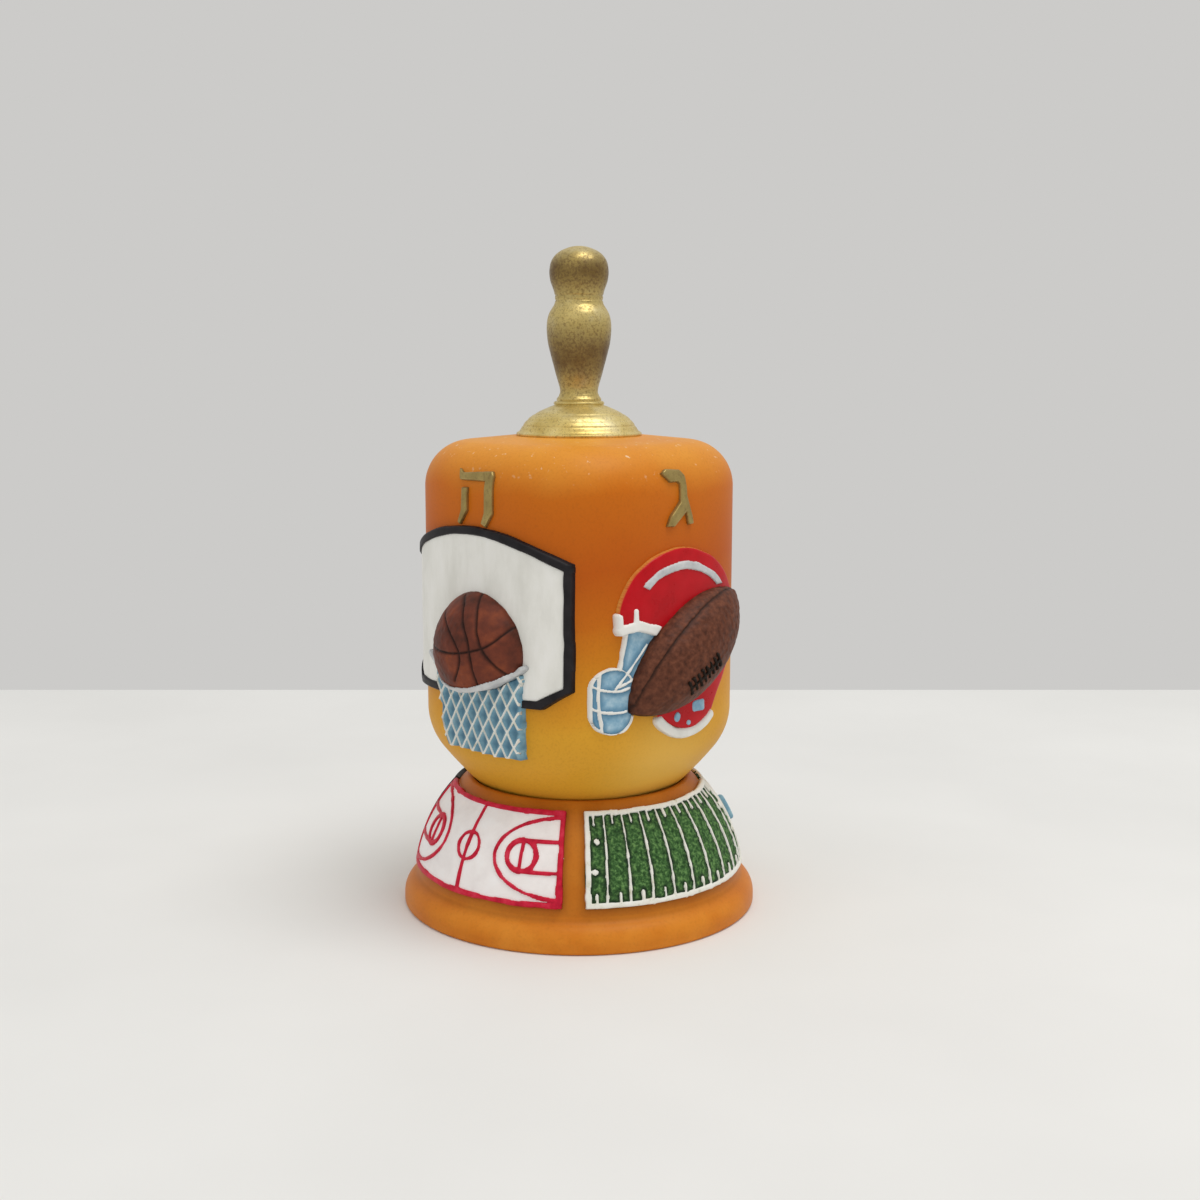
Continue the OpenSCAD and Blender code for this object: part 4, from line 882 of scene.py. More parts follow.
HELMET_EDGE, HELMET_SWELL, HELMET_SPREAD, BAND_LAP, BAND_RISE, EAR_RISE = 0.4, 0.25, 5.0, 0.2, 0.2, 0.1
MASK_SHADE, MASK_SHADE_W, MASK_LAP = 0.8, 0.7, 0.2
HIDE_GRAIN, LACE_EDGE, LACE_SINK = [(0.07, 0.45, 41), (0.05, 0.9, 42)], 0.25, 0.3


def football_frame(x, y):
    """Along and across the football, from its middle."""
    c, s = cos(FOOTBALL_TILT), sin(FOOTBALL_TILT)
    x, y = x - FOOTBALL_AT[0], y - FOOTBALL_AT[1]
    return c * x + s * y, c * y - s * x


def football_girth(along):
    t = np.minimum(np.abs(along) / (FOOTBALL_L / 2), 1)
    return FOOTBALL_D / 2 * (1 - t ** FOOTBALL_BOW) ** FOOTBALL_END


def football_outline():
    along = FOOTBALL_L / 2 * np.cos(np.linspace(0, 2 * pi, FOOTBALL_POINTS, endpoint=False))
    across = football_girth(along) * np.where(np.arange(FOOTBALL_POINTS) < FOOTBALL_POINTS / 2, 1, -1)
    c, s = cos(FOOTBALL_TILT), sin(FOOTBALL_TILT)
    return outline(np.stack([FOOTBALL_AT[0] + c * along - s * across,
                             FOOTBALL_AT[1] + s * along + c * across], 1))


FOOTBALL = football_outline()


def sector(at, start, end, far=40.0):
    """The corner between two directions from a point, in degrees."""
    return outline([at] + [spoke(at, far, radians(q)) for q in (start, (start + end) / 2, end)])


def make_helmet_face():
    wall = on_wall(HELMET)
    roll = stroke(arc(ROLL_AT, ROLL_R - ROLL_W / 2, ROLL_FROM, ROLL_TO), ROLL_W)
    crown = outline(smooth(CROWN))
    shell = join(cut(crown, outline(FACE_CORNERS)), cut(outline(JAW_CORNERS), grow(roll, -ROLL_LAP)),
                 grow(FOOTBALL, UNDER_BALL))
    add_relief("helmet_crown", "helmet_shell", hand_drawn(shell, 0.08, 2.0, 21),
               rough(rounded(0, PLATE_T, HELMET_EDGE, HELMET_SWELL, HELMET_SPREAD), 0.02, 1.5, 22),
               wall, HELMET_BOX, RED)
    band = cut(grow(crown, -STRIPE_IN), grow(crown, -STRIPE_IN - STRIPE_W))
    stripe = cut(meet(band, sector(HELMET_AT, STRIPE_FROM, STRIPE_TO)), grow(FOOTBALL, STRIPE_CLEAR))
    add_relief("helmet_crown_stripe", "helmet_stripe", hand_drawn(stripe, 0.1, 1.2, 23),
               rounded(PLATE_T, PLATE_T + EDGING_T + BAND_RISE), wall, HELMET_BOX, PALE_GREY,
               base=PLATE_T - SINK)
    near_ball = grow(FOOTBALL, CLEAR_OF_BALL)
    brow = cut(join(stroke(BROW, BROW_W), *[stroke(clip, CLIP_W) for clip in CLIPS]), near_ball)
    add_relief("helmet_brow_band", "brow_band", hand_drawn(brow, 0.1, 1.2, 24),
               rounded(PLATE_T - BAND_LAP, PLATE_T + EDGING_T + BAND_RISE), wall, HELMET_BOX, WHITE)
    add_relief("helmet_neck_roll", "neck_roll", hand_drawn(roll, 0.1, 1.5, 25),
               rounded(0, PLATE_T + EDGING_T, ROLL_EDGE), wall, HELMET_BOX, WHITE)
    make_mask(wall)
    half_w, half_h = (size / 2 - EAR_ROUND for size in EAR_SIZE)
    dots = [disc((x, y), r) for x, y, r in EAR_DOTS]
    ears = cut(join(grow(rectangle(half_w, half_h, EAR_AT), EAR_ROUND), *dots), near_ball)
    add_relief("helmet_ear_holes", "ear_holes", hand_drawn(ears, 0.1, 0.9, 26),
               rounded(PLATE_T, PLATE_T + EDGING_T + EAR_RISE, 0.3), wall, HELMET_BOX, SKY_BLUE, step=FINER,
               base=PLATE_T - SINK)
    make_football()


def make_mask(wall):
    mx, my = MASK_AT

    def cage(r):
        return stroke([(mx, my - MASK_HALF), (mx, my + MASK_HALF)], 2 * r)

    rim = cut(cage(MASK_R), cage(MASK_R - MASK_RIM_W))
    crossed = [stroke(smooth([(mx + x, my + y) for x, y in bar]), BAR_W) for bar in MASK_BARS]
    bars = cut(join(rim, meet(cage(MASK_R), join(*crossed)), *[stroke(stay, BAR_W) for stay in MASK_STAYS]),
               FOOTBALL)
    opening = cut(join(outline(OPENING), cage(MASK_R - MASK_LAP)), grow(FOOTBALL, UNDER_BALL))
    add_relief("face_opening_paint", "face_opening", opening, rough(rounded(0, OPENING_T), 0.06, 1.3, 31),
               wall, HELMET_BOX, SKY_BLUE,
               low=lambda x, y: MASK_SHADE * np.clip(1 - np.abs(bars(x, y)) / MASK_SHADE_W, 0, 1))
    add_relief("face_mask_bars", "face_mask", hand_drawn(bars, 0.1, 1.0, 32), rounded(0, MASK_T, BAR_W / 2),
               wall, HELMET_BOX, WHITE, step=MASK_STEP)


def make_football():
    flat = before_wall(HELMET)

    def form(x, y):
        along, across = football_frame(x, y)
        return FOOTBALL_OUT * np.sqrt(np.maximum(football_girth(along) ** 2 - across ** 2, 0))

    def seam(x, y):
        along, across = football_frame(x, y)
        near = [np.abs(across - share * football_girth(along)) for share in SEAM_SHARES]
        return np.clip(-(np.minimum(*near) - SEAM_W / 2) / (SEAM_W / 2), 0, 1)

    def hide(x, y, d):
        grain = sum(depth * noise(x, y, size, seed) for depth, size, seed in HIDE_GRAIN)
        return form(x, y) + grain - SEAM_DEPTH * seam(x, y)

    add_relief("football_hide", "football", hand_drawn(FOOTBALL, 0.08, 0.8, 43), hide, flat, FOOTBALL_BOX,
               LEATHER, base=sunk_in_wall(PLATE_T), low=seam)

    def laces(x, y):
        along, across = football_frame(x, y)
        along, across = along - LACE_BACK, across - LACE_SIDE
        half = LACE_PITCH * (LACE_COUNT - 1) / 2
        nearest = np.clip(np.round((along + half) / LACE_PITCH), 0, LACE_COUNT - 1)
        beside = np.abs(along + half - LACE_PITCH * nearest)
        cross = np.maximum(beside - LACE_W / 2, np.abs(across) - LACE_L / 2)
        rail = np.maximum(np.abs(across) - LACE_W / 2, np.abs(along) - half)
        return np.minimum(cross, rail)

    add_relief("football_lacing", "football_laces", hand_drawn(laces, 0.1, 0.6, 44),
               lambda x, y, d: form(x, y) + LACE_T * np.sqrt(np.clip(-d / LACE_EDGE, 0, 1)), flat, LACE_BOX,
               LACE, step=FINER, base=lambda x, y: form(x, y) - LACE_SINK)


# Goal face

GOAL_W, GOAL_H, POST_D, GOAL_LOW, GOAL_PITCH = 28.0, 28.0, 1.8, 0.5, 2.6
GOAL_BOX, GOAL_CORD_STEP, NET_LAP = (-15, -2, 15, 30), 0.12, 0.3
GOAL_SHADE, GOAL_SHADE_W, GOAL_CORD_SWAY, GOAL_CORD_LAP, GOAL_CORD_SINK = 0.7, 0.9, 0.06, 0.2, 0.5
SOCCER_AT, SOCCER_D, SOCCER_OUT, SOCCER_BOX = (2.5, 5.8), 13.0, 4.0, (-5, -2, 10, 14)
PATCH_R, OUTER_PATCH_R, OUTER_PATCH_AT, PATCH_T, PATCH_IN = 2.1, 1.7, 5.6, 0.15, 0.5
SEAM_RING, SEAM_OUTER, SOCCER_SEAM_W, SOCCER_SEAM_DEPTH = 4.1, 5.0, 0.34, 0.2
PATCH_EDGE, PATCH_SINK = 0.3, 0.3


def fifths(start):
    """Five even turns, in radians, from a start in degrees."""
    return np.radians(start + 72 * np.arange(5))


def make_goal_face():
    wall = on_wall(GOAL)

    def above_foot(x, y):
        return GOAL_LOW - y

    def goal(inset):
        return rectangle(GOAL_W / 2 - inset, GOAL_H / 2, (0, GOAL_LOW + GOAL_H / 2 - inset))

    posts = cut(meet(goal(0), above_foot), goal(POST_D))
    add_relief("goal_posts", "goal_frame", hand_drawn(posts, 0.08, 1.6, 51),
               rounded(0, PLATE_T + EDGING_T, POST_D / 2), wall, GOAL_BOX, WHITE)
    net = meet(grow(goal(POST_D), NET_LAP), above_foot)
    top = GOAL_LOW + GOAL_H - POST_D

    def cords(x, y):
        sway = GOAL_CORD_SWAY * noise(x, y, 1.8, 52)
        return np.minimum(comb(x + sway, GOAL_PITCH), comb(top - y + sway, GOAL_PITCH)) - CORD_W / 2

    add_relief("goal_net_panel", "goal_net", net, rough(rounded(0, PLATE_T / 2), 0.04, 1.2, 53), wall,
               GOAL_BOX, BLUE, step=COARSE, low=shade_off(cords, GOAL_SHADE, GOAL_SHADE_W))
    add_relief("goal_net_cords", "goal_cords", meet(net, cords),
               rounded(PLATE_T / 2 - GOAL_CORD_LAP, PLATE_T, CORD_W / 2), wall, GOAL_BOX, LINE_WHITE,
               step=GOAL_CORD_STEP, base=PLATE_T / 2 - GOAL_CORD_SINK)
    make_soccer_ball()


def make_soccer_ball():
    flat = before_wall(GOAL)
    cap = cap_height(SOCCER_AT, SOCCER_D, SOCCER_OUT, PLATE_T)
    near = [spoke(SOCCER_AT, PATCH_R, q) for q in fifths(90)]
    far = [spoke(SOCCER_AT, SEAM_RING, q) for q in fifths(90)]
    outer = [spoke(SOCCER_AT, SEAM_OUTER, q) for q in fifths(126)]
    seams = list(zip(near, far))
    seams += [pair for i in range(5) for pair in ((far[i], outer[i]), (outer[i], far[(i + 1) % 5]))]
    low = seam_low(join(*[stroke(pair) for pair in seams]), SOCCER_SEAM_W)
    add_relief("soccer_ball_cap", "soccer_ball", disc(SOCCER_AT, SOCCER_D / 2),
               lambda x, y, d: cap(x, y, d) - SOCCER_SEAM_DEPTH * low(x, y), flat, SOCCER_BOX, BALL_WHITE,
               base=sunk_in_wall(PLATE_T / 2), low=low)

    def pentagon(at, r, start):
        return outline([spoke(at, r, q) for q in fifths(start)])

    patches = [pentagon(SOCCER_AT, PATCH_R, 90)]
    for q in fifths(126):
        patches.append(pentagon(spoke(SOCCER_AT, OUTER_PATCH_AT, q), OUTER_PATCH_R, degrees(q) + 180))
    drawing = meet(join(*patches), disc(SOCCER_AT, SOCCER_D / 2 - PATCH_IN))
    add_relief("soccer_ball_patches", "soccer_patches", hand_drawn(drawing, 0.06, 0.9, 54),
               lambda x, y, d: cap(x, y, d) + PATCH_T * np.sqrt(np.clip(-d / PATCH_EDGE, 0, 1)), flat,
               SOCCER_BOX, BLACK, base=lambda x, y: cap(x, y, 0) - PATCH_SINK)


# Glove face

PALM_AT, PALM_D, GLOVE_BOX = (0.8, 9.6), 12.0, (-9, -2, 14, 27)
FINGERS, FINGER_D, FINGER_L, FINGER_GAP, FINGER_TURN, FINGER_LEAN = 4, 3.7, 9.0, 0.25, 14, -4
THUMB_TURN, THUMB_SHARE, FINGER_WEB, PLUMP, HOLLOW, HOLLOW_R = -62, 0.85, 0.8, 0.5, 0.5, 6
WRIST_W, WRIST_H, CREASES = 0.31, 0.18, (4.6, 6.2)
WEB_SIZE, WEB_TURN, WEB_ACROSS, WEB_UP, WEB_PITCH, STRIP_T = (3.0, 4.4), radians(-32), 0.36, 0.44, 1.5, 0.25
BASEBALL_AT, BASEBALL_D, BASEBALL_OUT, BASEBALL_BOX = (0.4, 10.4), 8.4, 3.2, (-5, 5, 6, 16)
STITCH_OUT, STITCH_R, STITCH_HALF, STITCH_COUNT, STITCH_LEAN = 5.0, 3.3, 52, 9, 0.5
STITCH_REACH, STITCH_W, STITCH_T, STITCH_IN, STITCH_SINK = 0.5, 0.26, 0.12, 0.2, 0.2
GROOVE_HALF, GROOVE_W, GROOVE_DEPTH, GROOVE_PAINT_W = 70, 0.4, 0.15, 0.3
HIDE_DROP, HIDE_EDGE, CREASE_W, CREASE_SHADE, GAP_W, WEB_LAP = 0.3, 0.5, 0.3, 0.6, 0.5, 0.1
BAT_AT, BAT_L, BAT_D, BAT_GRIP_D, BAT_DEPTH, BAT_BOX = (-14.2, 14.0), 27.0, 4.6, 2.2, 18.6, (-18, 0, -10, 29)
BAT_KNOB_H, BAT_KNOB_R, SWELL_FROM, SWELL_OVER = 1.2, 1.6, 0.3, 0.45


def finger_line(turn, side, length):
    """Middle line of a finger, from the palm to its tip."""
    c, s = cos(radians(turn)), sin(radians(turn))
    return [(PALM_AT[0] + c * side - s * up, PALM_AT[1] + s * side + c * up)
            for up in (PALM_D / 4, PALM_D / 4 + length - FINGER_D / 2)]


def make_glove_face():
    wall = on_wall(GLOVE)
    lines = [finger_line((i - 1) * FINGER_TURN + FINGER_LEAN, (1.5 - i) * (FINGER_D + FINGER_GAP), FINGER_L)
             for i in range(FINGERS)]
    roots = [np.add(a, np.subtract(b, a) * FINGER_WEB) for a, b in lines]
    between = outline([lines[0][0]] + roots + [lines[-1][0], PALM_AT])
    thumb = finger_line(THUMB_TURN, 0, FINGER_L * THUMB_SHARE)
    fingers = join(*[stroke(line, FINGER_D) for line in lines + [thumb]])
    wrist = rectangle(PALM_D * WRIST_W, PALM_D * WRIST_H, (PALM_AT[0], PALM_AT[1] - PALM_D / 2))
    hand = join(disc(PALM_AT, PALM_D / 2), wrist, between, fingers)

    def web(x, y):
        dx, dy = x - (PALM_AT[0] + WEB_ACROSS * PALM_D), y - (PALM_AT[1] + WEB_UP * PALM_D)
        c, s = cos(WEB_TURN), sin(WEB_TURN)
        return rectangle(WEB_SIZE[0] / 2, WEB_SIZE[1] / 2)(c * dx + s * dy, c * dy - s * dx)

    def hide(x, y, d):
        plump = PLUMP * np.sqrt(np.clip(-fingers(x, y) / (FINGER_D / 2), 0, 1))
        hollow = HOLLOW * np.clip(1 - np.hypot(x - BASEBALL_AT[0], y - BASEBALL_AT[1]) / HOLLOW_R, 0, 1)
        grain = 0.04 * noise(x, y, 0.6, 61)
        return rounded(0, PLATE_T + EDGING_T - HIDE_DROP, HIDE_EDGE)(x, y, d) + plump - hollow + grain

    creases = join(*[stroke(arc(PALM_AT, r, 200, 340)) for r in CREASES], *[stroke(line) for line in lines])
    gaps = cut(lambda x, y: np.abs(fingers(x, y)), disc(PALM_AT, PALM_D / 2 - 1))
    crease_low, gap_low = seam_low(creases, CREASE_W), seam_low(gaps, GAP_W)
    add_relief("glove_hide", "glove", hand_drawn(cut(hand, grow(web, -WEB_LAP)), 0.08, 1.5, 62), hide, wall,
               GLOVE_BOX, LEATHER,
               low=lambda x, y: np.maximum(CREASE_SHADE * crease_low(x, y), gap_low(x, y)))

    def lattice(x, y, d):
        strips = np.maximum(*[np.cos(2 * pi * along / WEB_PITCH) for along in (x + y, x - y)])
        return rounded(0, PLATE_T - STRIP_T)(x, y, d) + STRIP_T * np.clip(strips, 0, 1)

    add_relief("glove_web_lattice", "glove_web", web, lattice, wall, GLOVE_BOX, WEB_BROWN)
    make_baseball()
    make_bat()


def make_baseball():
    """The ball, and red thread across its two seams, each an arc about a point beside the ball."""
    flat = before_wall(GLOVE)
    cap = cap_height(BASEBALL_AT, BASEBALL_D, BASEBALL_OUT, PLATE_T + EDGING_T)
    sides = [((BASEBALL_AT[0] + side * STITCH_OUT, BASEBALL_AT[1]), start)
             for side, start in ((-1, 0), (1, 180))]
    seams = join(*[stroke(arc(middle, STITCH_R, start - GROOVE_HALF, start + GROOVE_HALF))
                   for middle, start in sides])
    add_relief("baseball_cap", "baseball", disc(BASEBALL_AT, BASEBALL_D / 2),
               lambda x, y, d: cap(x, y, d) - GROOVE_DEPTH * seam_low(seams, GROOVE_W)(x, y), flat,
               BASEBALL_BOX, BALL_WHITE, base=sunk_in_wall(PLATE_T), low=seam_low(seams, GROOVE_PAINT_W))
    threads = []
    for middle, start in sides:
        for q in np.radians(start + np.linspace(-STITCH_HALF, STITCH_HALF, STITCH_COUNT)):
            at = spoke(middle, STITCH_R, q)
            ends = [spoke(at, reach, q + STITCH_LEAN) for reach in (-STITCH_REACH, STITCH_REACH)]
            threads.append(stroke(ends, STITCH_W))
    drawing = meet(join(*threads), disc(BASEBALL_AT, BASEBALL_D / 2 - STITCH_IN))
    add_relief("baseball_stitches", None, drawing, lambda x, y, d: cap(x, y, d) + STITCH_T, flat,
               BASEBALL_BOX, CRIMSON, step=FINEST, base=lambda x, y: cap(x, y, 0) - STITCH_SINK)


def make_bat():
    def bat_frame(x, y):
        return x - BAT_AT[0], y - BAT_AT[1] + BAT_L / 2

    def girth(up):
        swell = ease(np.clip((up / BAT_L - SWELL_FROM) / SWELL_OVER, 0, 1))
        r = (BAT_GRIP_D + (BAT_D - BAT_GRIP_D) * swell) / 2
        r = np.where(up < BAT_KNOB_H, BAT_KNOB_R, r)
        end = np.clip((up - BAT_L + BAT_D / 2) / (BAT_D / 2), 0, 1)
        return r * np.sqrt(1 - end ** 2)

    def drawing(x, y):
        across, up = bat_frame(x, y)
        return np.maximum(np.abs(across) - girth(up), np.maximum(-up, up - BAT_L))

    def height(x, y, d):
        across, up = bat_frame(x, y)
        return BAT_DEPTH - BODY_HALF + np.sqrt(np.maximum(girth(up) ** 2 - across ** 2, 0))

    add_relief("bat_barrel", "bat", drawing, height, before_wall(GLOVE), BAT_BOX, WOOD, base=sunk_in_wall(0))


# Marks on the faces: the four plain letters of the game, each as its face and its outlines

MARK_T, MARK_GROW, MARK_BOX = 0.6, 0.05, (-5, 28, 5, 38)
MARKS = {
    "mark_hei": (BASKET, [
        [(-3.6, 37.0), (-3.0, 35.4), (2.4, 35.4), (2.3, 31.0), (1.6, 29.4), (2.6, 28.9), (3.9, 30.8),
         (3.9, 36.2), (3.5, 36.8), (-2.6, 36.4)],
        [(-2.4, 34.4), (-1.3, 34.4), (-1.4, 31.0), (-2.9, 29.0), (-3.4, 29.4), (-2.6, 31.2)]]),
    "mark_gimel": (HELMET, [
        [(-4.3, 36.6), (-3.4, 37.1), (-0.6, 36.9), (0.2, 36.1), (0.4, 33.4), (1.6, 30.4), (1.9, 29.2),
         (0.9, 29.1), (0.3, 31.0), (-2.2, 29.0), (-3.6, 29.1), (-2.9, 30.6), (-0.9, 32.6), (-0.9, 35.0),
         (-1.4, 35.3), (-2.9, 35.3)]]),
    "mark_nun": (GOAL, [
        [(-2.6, 36.6), (-1.8, 37.1), (0.6, 36.9), (1.6, 36.1), (1.8, 29.0), (-3.0, 29.0), (-3.4, 30.5),
         (0.3, 30.5), (0.3, 35.3), (-1.6, 35.3)]]),
    "mark_shin": (GLOVE, [
        [(-4.2, 37.0), (-2.9, 37.0), (-2.2, 31.4), (1.2, 30.6), (3.0, 33.0), (2.9, 37.0), (4.3, 37.0),
         (4.4, 32.6), (2.2, 29.2), (-3.2, 29.0)],
        [(-0.9, 37.0), (0.5, 37.0), (0.3, 33.0), (-2.3, 30.6), (-2.6, 31.8), (-0.9, 33.4)]])}


def make_marks():
    for name, (face, outlines) in MARKS.items():
        drawing = grow(join(*[outline(points) for points in outlines]), MARK_GROW)
        add_relief(name, None, drawing, rounded(0, MARK_T, 0.3), on_shoulder(face), MARK_BOX, MARK_GOLD,
                   step=FINER)


# Fields on the stand

FIELD_MARGIN, PAINT_STEP, BASE_STEP = 0.5, 0.13, 0.11
PAINT_LAP, PAINT_SINK, PAINT_EDGE = 0.1, 0.4, 0.25
TURF_SHADE, TURF_SHADE_FROM, TURF_SHADE_W, TURF_SPOTS = 0.85, 1.1, 0.45, 0.4


def field_box(face):
    left, right = field_sides(face)
    return left - FIELD_MARGIN, -FIELD_UP - FIELD_MARGIN, right + FIELD_MARGIN, FIELD_UP + FIELD_MARGIN


def field_plate(face, seed):
    return hand_drawn(field_shape(face), 0.07, 2.5, seed)


def border(face, seed):
    return cut(field_plate(face, seed), hand_drawn(field_shape(face, BORDER_W), 0.08, 1.6, seed + 1))


def add_on_field(name, node, face, drawing, height, finish, **settings):
    add_relief(name, node, drawing, height, on_dome(face), field_box(face), finish, "stand", **settings)


def add_lines(name, node, face, drawing, finish, bottom=FIELD_T, top=FIELD_T + LINE_T, step=PAINT_STEP):
    add_on_field(name, node, face, drawing, rounded(bottom - PAINT_LAP, top, PAINT_EDGE), finish, step=step,
                 base=bottom - PAINT_SINK)


def add_turf(name, node, face, drawing, lines, finish, seed):
    """A stippled plate, darker beside the lines painted on it."""
    def shade(x, y):
        spots = TURF_SPOTS * noise(x, y, 0.6, seed + 3)
        return TURF_SHADE * np.clip(TURF_SHADE_FROM - lines(x, y) / TURF_SHADE_W + spots, 0, 1)

    stippled = rough(rough(rounded(0, FIELD_T, 0.3), 0.10, 0.42, seed), 0.06, 0.8, seed + 1)
    add_on_field(name, node, face, drawing, stippled, finish, low=shade)


COURT_ARC, KEY_R, KEY_IN, KEY_W, CENTRE_R, CENTRE_X = (10.3, 5.85), 2.2, 6.1, 0.95, 2.0, 0.2
HALF_WAY = [(0.3, FIELD_UP), (0, 0), (-0.1, -FIELD_UP)]


def make_court():
    left, right = field_sides(BASKET)
    add_on_field("court_plate", "court_board", BASKET, field_plate(BASKET, 71),
                 rough(rounded(0, FIELD_T, 0.3), 0.02, 1.4, 72), LIT_COURT_WHITE, step=COARSE)
    lines = [border(BASKET, 73), stroke(HALF_WAY, LINE_W), ring((CENTRE_X, 0), CENTRE_R, LINE_W)]
    turn = np.radians(np.linspace(90, -90, 40))
    for side, end in ((-1, left), (1, right)):
        key_x = side * (right - KEY_IN)
        bow = np.stack([side * (right - COURT_ARC[0] * np.cos(turn)), COURT_ARC[1] * np.sin(turn)], 1)
        lines.append(stroke(np.concatenate([[(end, COURT_ARC[1])], bow, [(end, -COURT_ARC[1])]]), LINE_W))
        lines += [stroke([(end, up), (key_x, up)], LINE_W) for up in (-KEY_R, KEY_R)]
        lines += [ring((key_x, 0), KEY_R, KEY_W), stroke([(key_x, -KEY_R), (key_x, KEY_R)], LINE_W)]
    drawing = meet(hand_drawn(join(*lines), 0.09, 1.1, 75), field_plate(BASKET, 73))
    add_lines("court_line_paint", "court_lines", BASKET, drawing, CRIMSON)


YARD_BANDS, YARD_W, YARD_SWAY, YARD_LEAN, HASH_L, HASH_W = 10, 0.44, 1.0, 0.2, 1.2, 0.5
POST_DOTS, POST_DOT_R = [(0.95, 2.3), (0.5, -1.95)], 0.55


def yard_line(i):
    return (2 * i / YARD_BANDS - 1) * FIELD_X - YARD_SWAY * sin(pi * i / YARD_BANDS)


def make_football_field():
    lines = [border(HELMET, 84)]
    for i in range(1, YARD_BANDS):
        at = yard_line(i)
        lines.append(stroke([(at - YARD_LEAN, -FIELD_UP), (at, 0), (at + YARD_LEAN, FIELD_UP)], YARD_W))
    for i in range(YARD_BANDS):
        at = yard_line(i + 0.5)
        for side in (-1, 1):
            lines.append(stroke([(at, side * FIELD_UP), (at, side * (FIELD_UP - BORDER_W - HASH_L))], HASH_W))
    for end in (-1, 1):
        lines += [disc((end * (FIELD_X - BORDER_W - inset), up), POST_DOT_R) for inset, up in POST_DOTS]
    drawing = meet(hand_drawn(join(*lines), 0.1, 0.9, 86), field_plate(HELMET, 84))
    add_turf("field_grass", "field_turf", HELMET, field_plate(HELMET, 81), drawing, TURF, 82)
    add_lines("field_line_paint", "field_lines", HELMET, drawing, LINE_WHITE)


PITCH_BOX_IN, PITCH_BOX_UP, PITCH_CIRCLE_R = 6.0, 4.4, 2.8
PITCH_GOAL, PITCH_GOAL_UP, PITCH_GOAL_T = (1.6, 4.0), 0.2, 0.9


def make_pitch():
    lines = [border(GOAL, 94), stroke([(0, -FIELD_UP), (0, FIELD_UP)], LINE_W),
             ring((0, 0), PITCH_CIRCLE_R, LINE_W)]
    blocks = []
    for end in (-1, 1):
        edge, corner = end * FIELD_X, end * (FIELD_X - PITCH_BOX_IN)
        lines.append(stroke([(edge, PITCH_BOX_UP), (corner, PITCH_BOX_UP), (corner, -PITCH_BOX_UP),
                             (edge, -PITCH_BOX_UP)], LINE_W))
        blocks.append(rectangle(PITCH_GOAL[0] / 2, PITCH_GOAL[1] / 2,
                                (end * (FIELD_X - BORDER_W - PITCH_GOAL[0] / 2), PITCH_GOAL_UP)))
    drawing = meet(hand_drawn(join(*lines), 0.09, 1.0, 96), field_plate(GOAL, 94))
    add_turf("pitch_grass", "pitch_turf", GOAL, field_plate(GOAL, 91), drawing, GRASS, 92)
    add_lines("pitch_line_paint", "pitch_lines", GOAL, cut(drawing, *blocks), LINE_WHITE)
    add_on_field("pitch_goal_blocks", "pitch_goals", GOAL, hand_drawn(join(*blocks), 0.08, 1.2, 98),
                 rounded(FIELD_T, FIELD_T + PITCH_GOAL_T, 0.4), BLUE, base=FIELD_T - PAINT_SINK)


DIAMOND_GAP, DIAMOND_LAP, DIAMOND_LINE_W, BASE_IN, BASE_HALF = 0.3, 0.3, 0.4, 0.9, 0.84


def square_on_end(x, y, half):
    return outline([(x + half, y), (x, y + half), (x - half, y), (x, y - half)])


def make_diamond():
    half = DOME_R * sin((FIELD_UP - BORDER_W) / DOME_R) - DIAMOND_GAP
    diamond = square_on_end(0, 0, half)
    edging = border(GLOVE, 104)
    add_turf("diamond_grass", "diamond_turf", GLOVE, grow(field_shape(GLOVE, BORDER_W), DIAMOND_LAP),
             join(edging, diamond), GRASS, 102)
    add_on_field("diamond_edging", "diamond_border", GLOVE, edging, rounded(0, FIELD_T + LINE_T, 0.3), BLACK)
    sand_top = FIELD_T + LINE_T / 2
    add_lines("diamond_sand", "diamond_infield", GLOVE, hand_drawn(diamond, 0.1, 1.2, 106), SAND,
              top=sand_top)
    at = half - BASE_IN
    bases = [square_on_end(x, y, BASE_HALF) for x, y in ((at, 0), (0, at), (-at, 0), (0, -at))]
    lines = join(cut(diamond, grow(diamond, -DIAMOND_LINE_W)), *bases)
    add_lines("diamond_line_paint", "diamond_lines", GLOVE, hand_drawn(lines, 0.06, 1.0, 107), LINE_WHITE,
              sand_top, step=BASE_STEP)


# Camera, light and floor: lamps and floor are in metres, and a lamp has its place, width, watts and colour

CAMERA_REACH, CAMERA_Z, CAMERA_TURN, CAMERA_DROP = 242.7, 83.4, radians(45), radians(8.6)
CAMERA_LENS, SENSOR_W, AXIS_SHIFT, CLIP_START = 48.0, 36.0, 0.0175, 0.01
STUDIO_AIM = Vector((0, 0, 0.05))
LAMPS = {"key": ((0.22, 0.06, 0.75), 0.45, 2.6, (1.0, 0.99, 0.97)),
         "fill": ((0.10, -0.45, 0.45), 0.6, 0.25, (0.97, 0.98, 1.0))}
FLOOR_BEHIND, FLOOR_REACH = 0.156, 3.0


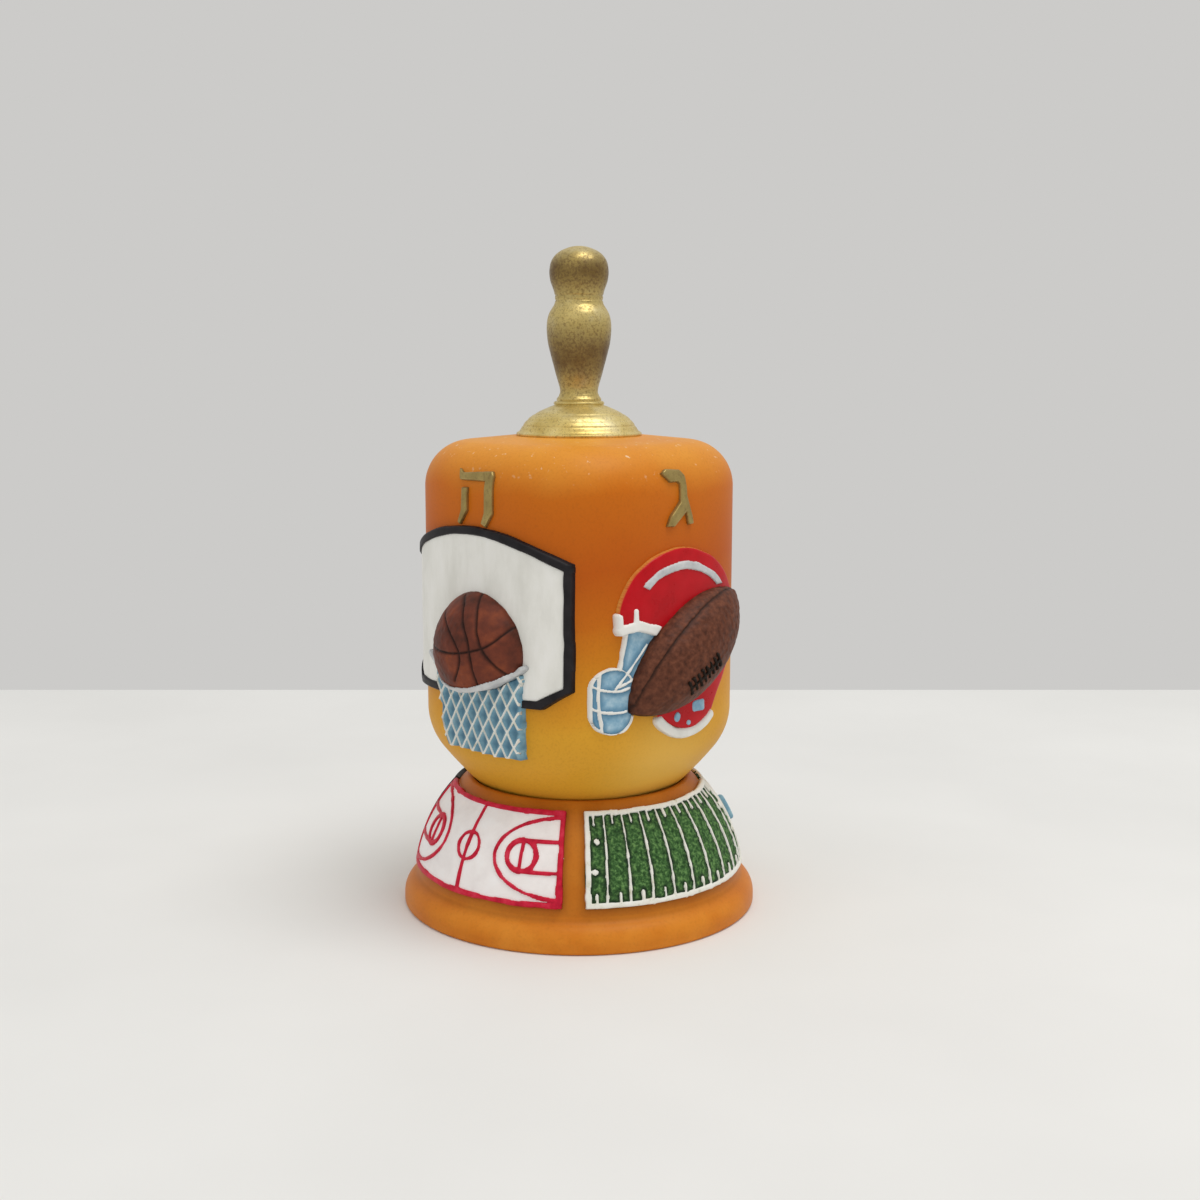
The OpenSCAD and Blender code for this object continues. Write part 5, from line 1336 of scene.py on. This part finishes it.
def place_camera():
    camera = bpy.data.objects.new("camera", bpy.data.cameras.new("camera"))
    bpy.context.scene.collection.objects.link(camera)
    camera.location = (CAMERA_REACH * MM * sin(CAMERA_TURN), -CAMERA_REACH * MM * cos(CAMERA_TURN),
                       CAMERA_Z * MM)
    camera.rotation_euler = (pi / 2 - CAMERA_DROP, 0, CAMERA_TURN)
    camera.data.lens = CAMERA_LENS
    camera.data.sensor_width = SENSOR_W
    camera.data.shift_x = AXIS_SHIFT
    camera.data.clip_start = CLIP_START
    bpy.context.scene.camera = camera


def place_lamp(name, at, size, watts, colour):
    light = bpy.data.lights.new(name, "AREA")
    light.shape = "SQUARE"
    light.size = size
    light.energy = watts
    light.color = colour
    lamp = bpy.data.objects.new(name, light)
    bpy.context.scene.collection.objects.link(lamp)
    lamp.location = at
    lamp.rotation_euler = (STUDIO_AIM - lamp.location).to_track_quat("-Z", "Y").to_euler()


def make_studio():
    """A pale floor that ends behind the object, before a grey wall that the world's colour stands for."""
    world = bpy.data.worlds.new("soft_studio")
    bpy.context.scene.world = world
    world.use_nodes = True
    wall = world.node_tree.nodes["Background"]
    wall.inputs["Color"].default_value = linear("#cccbc9")
    wall.inputs["Strength"].default_value = 1.0
    bpy.context.scene.view_settings.view_transform = "Standard"
    for name, lamp in LAMPS.items():
        place_lamp(name, *lamp)
    mesh = bpy.data.meshes.new("floor")
    mesh.from_pydata([(-FLOOR_REACH, -FLOOR_REACH, 0), (FLOOR_REACH, -FLOOR_REACH, 0),
                      (FLOOR_REACH, FLOOR_BEHIND, 0), (-FLOOR_REACH, FLOOR_BEHIND, 0)], [], [(0, 1, 2, 3)])
    mesh.materials.append(floor_card())
    floor = bpy.data.objects.new("floor", mesh)
    floor.rotation_euler = (0, 0, CAMERA_TURN)
    bpy.context.scene.collection.objects.link(floor)


place_camera()
make_studio()
make_stand()
make_court()
make_football_field()
make_pitch()
make_diamond()
make_core_pin()
make_body()
make_stem()
make_basket_face()
make_helmet_face()
make_goal_face()
make_glove_face()
make_marks()
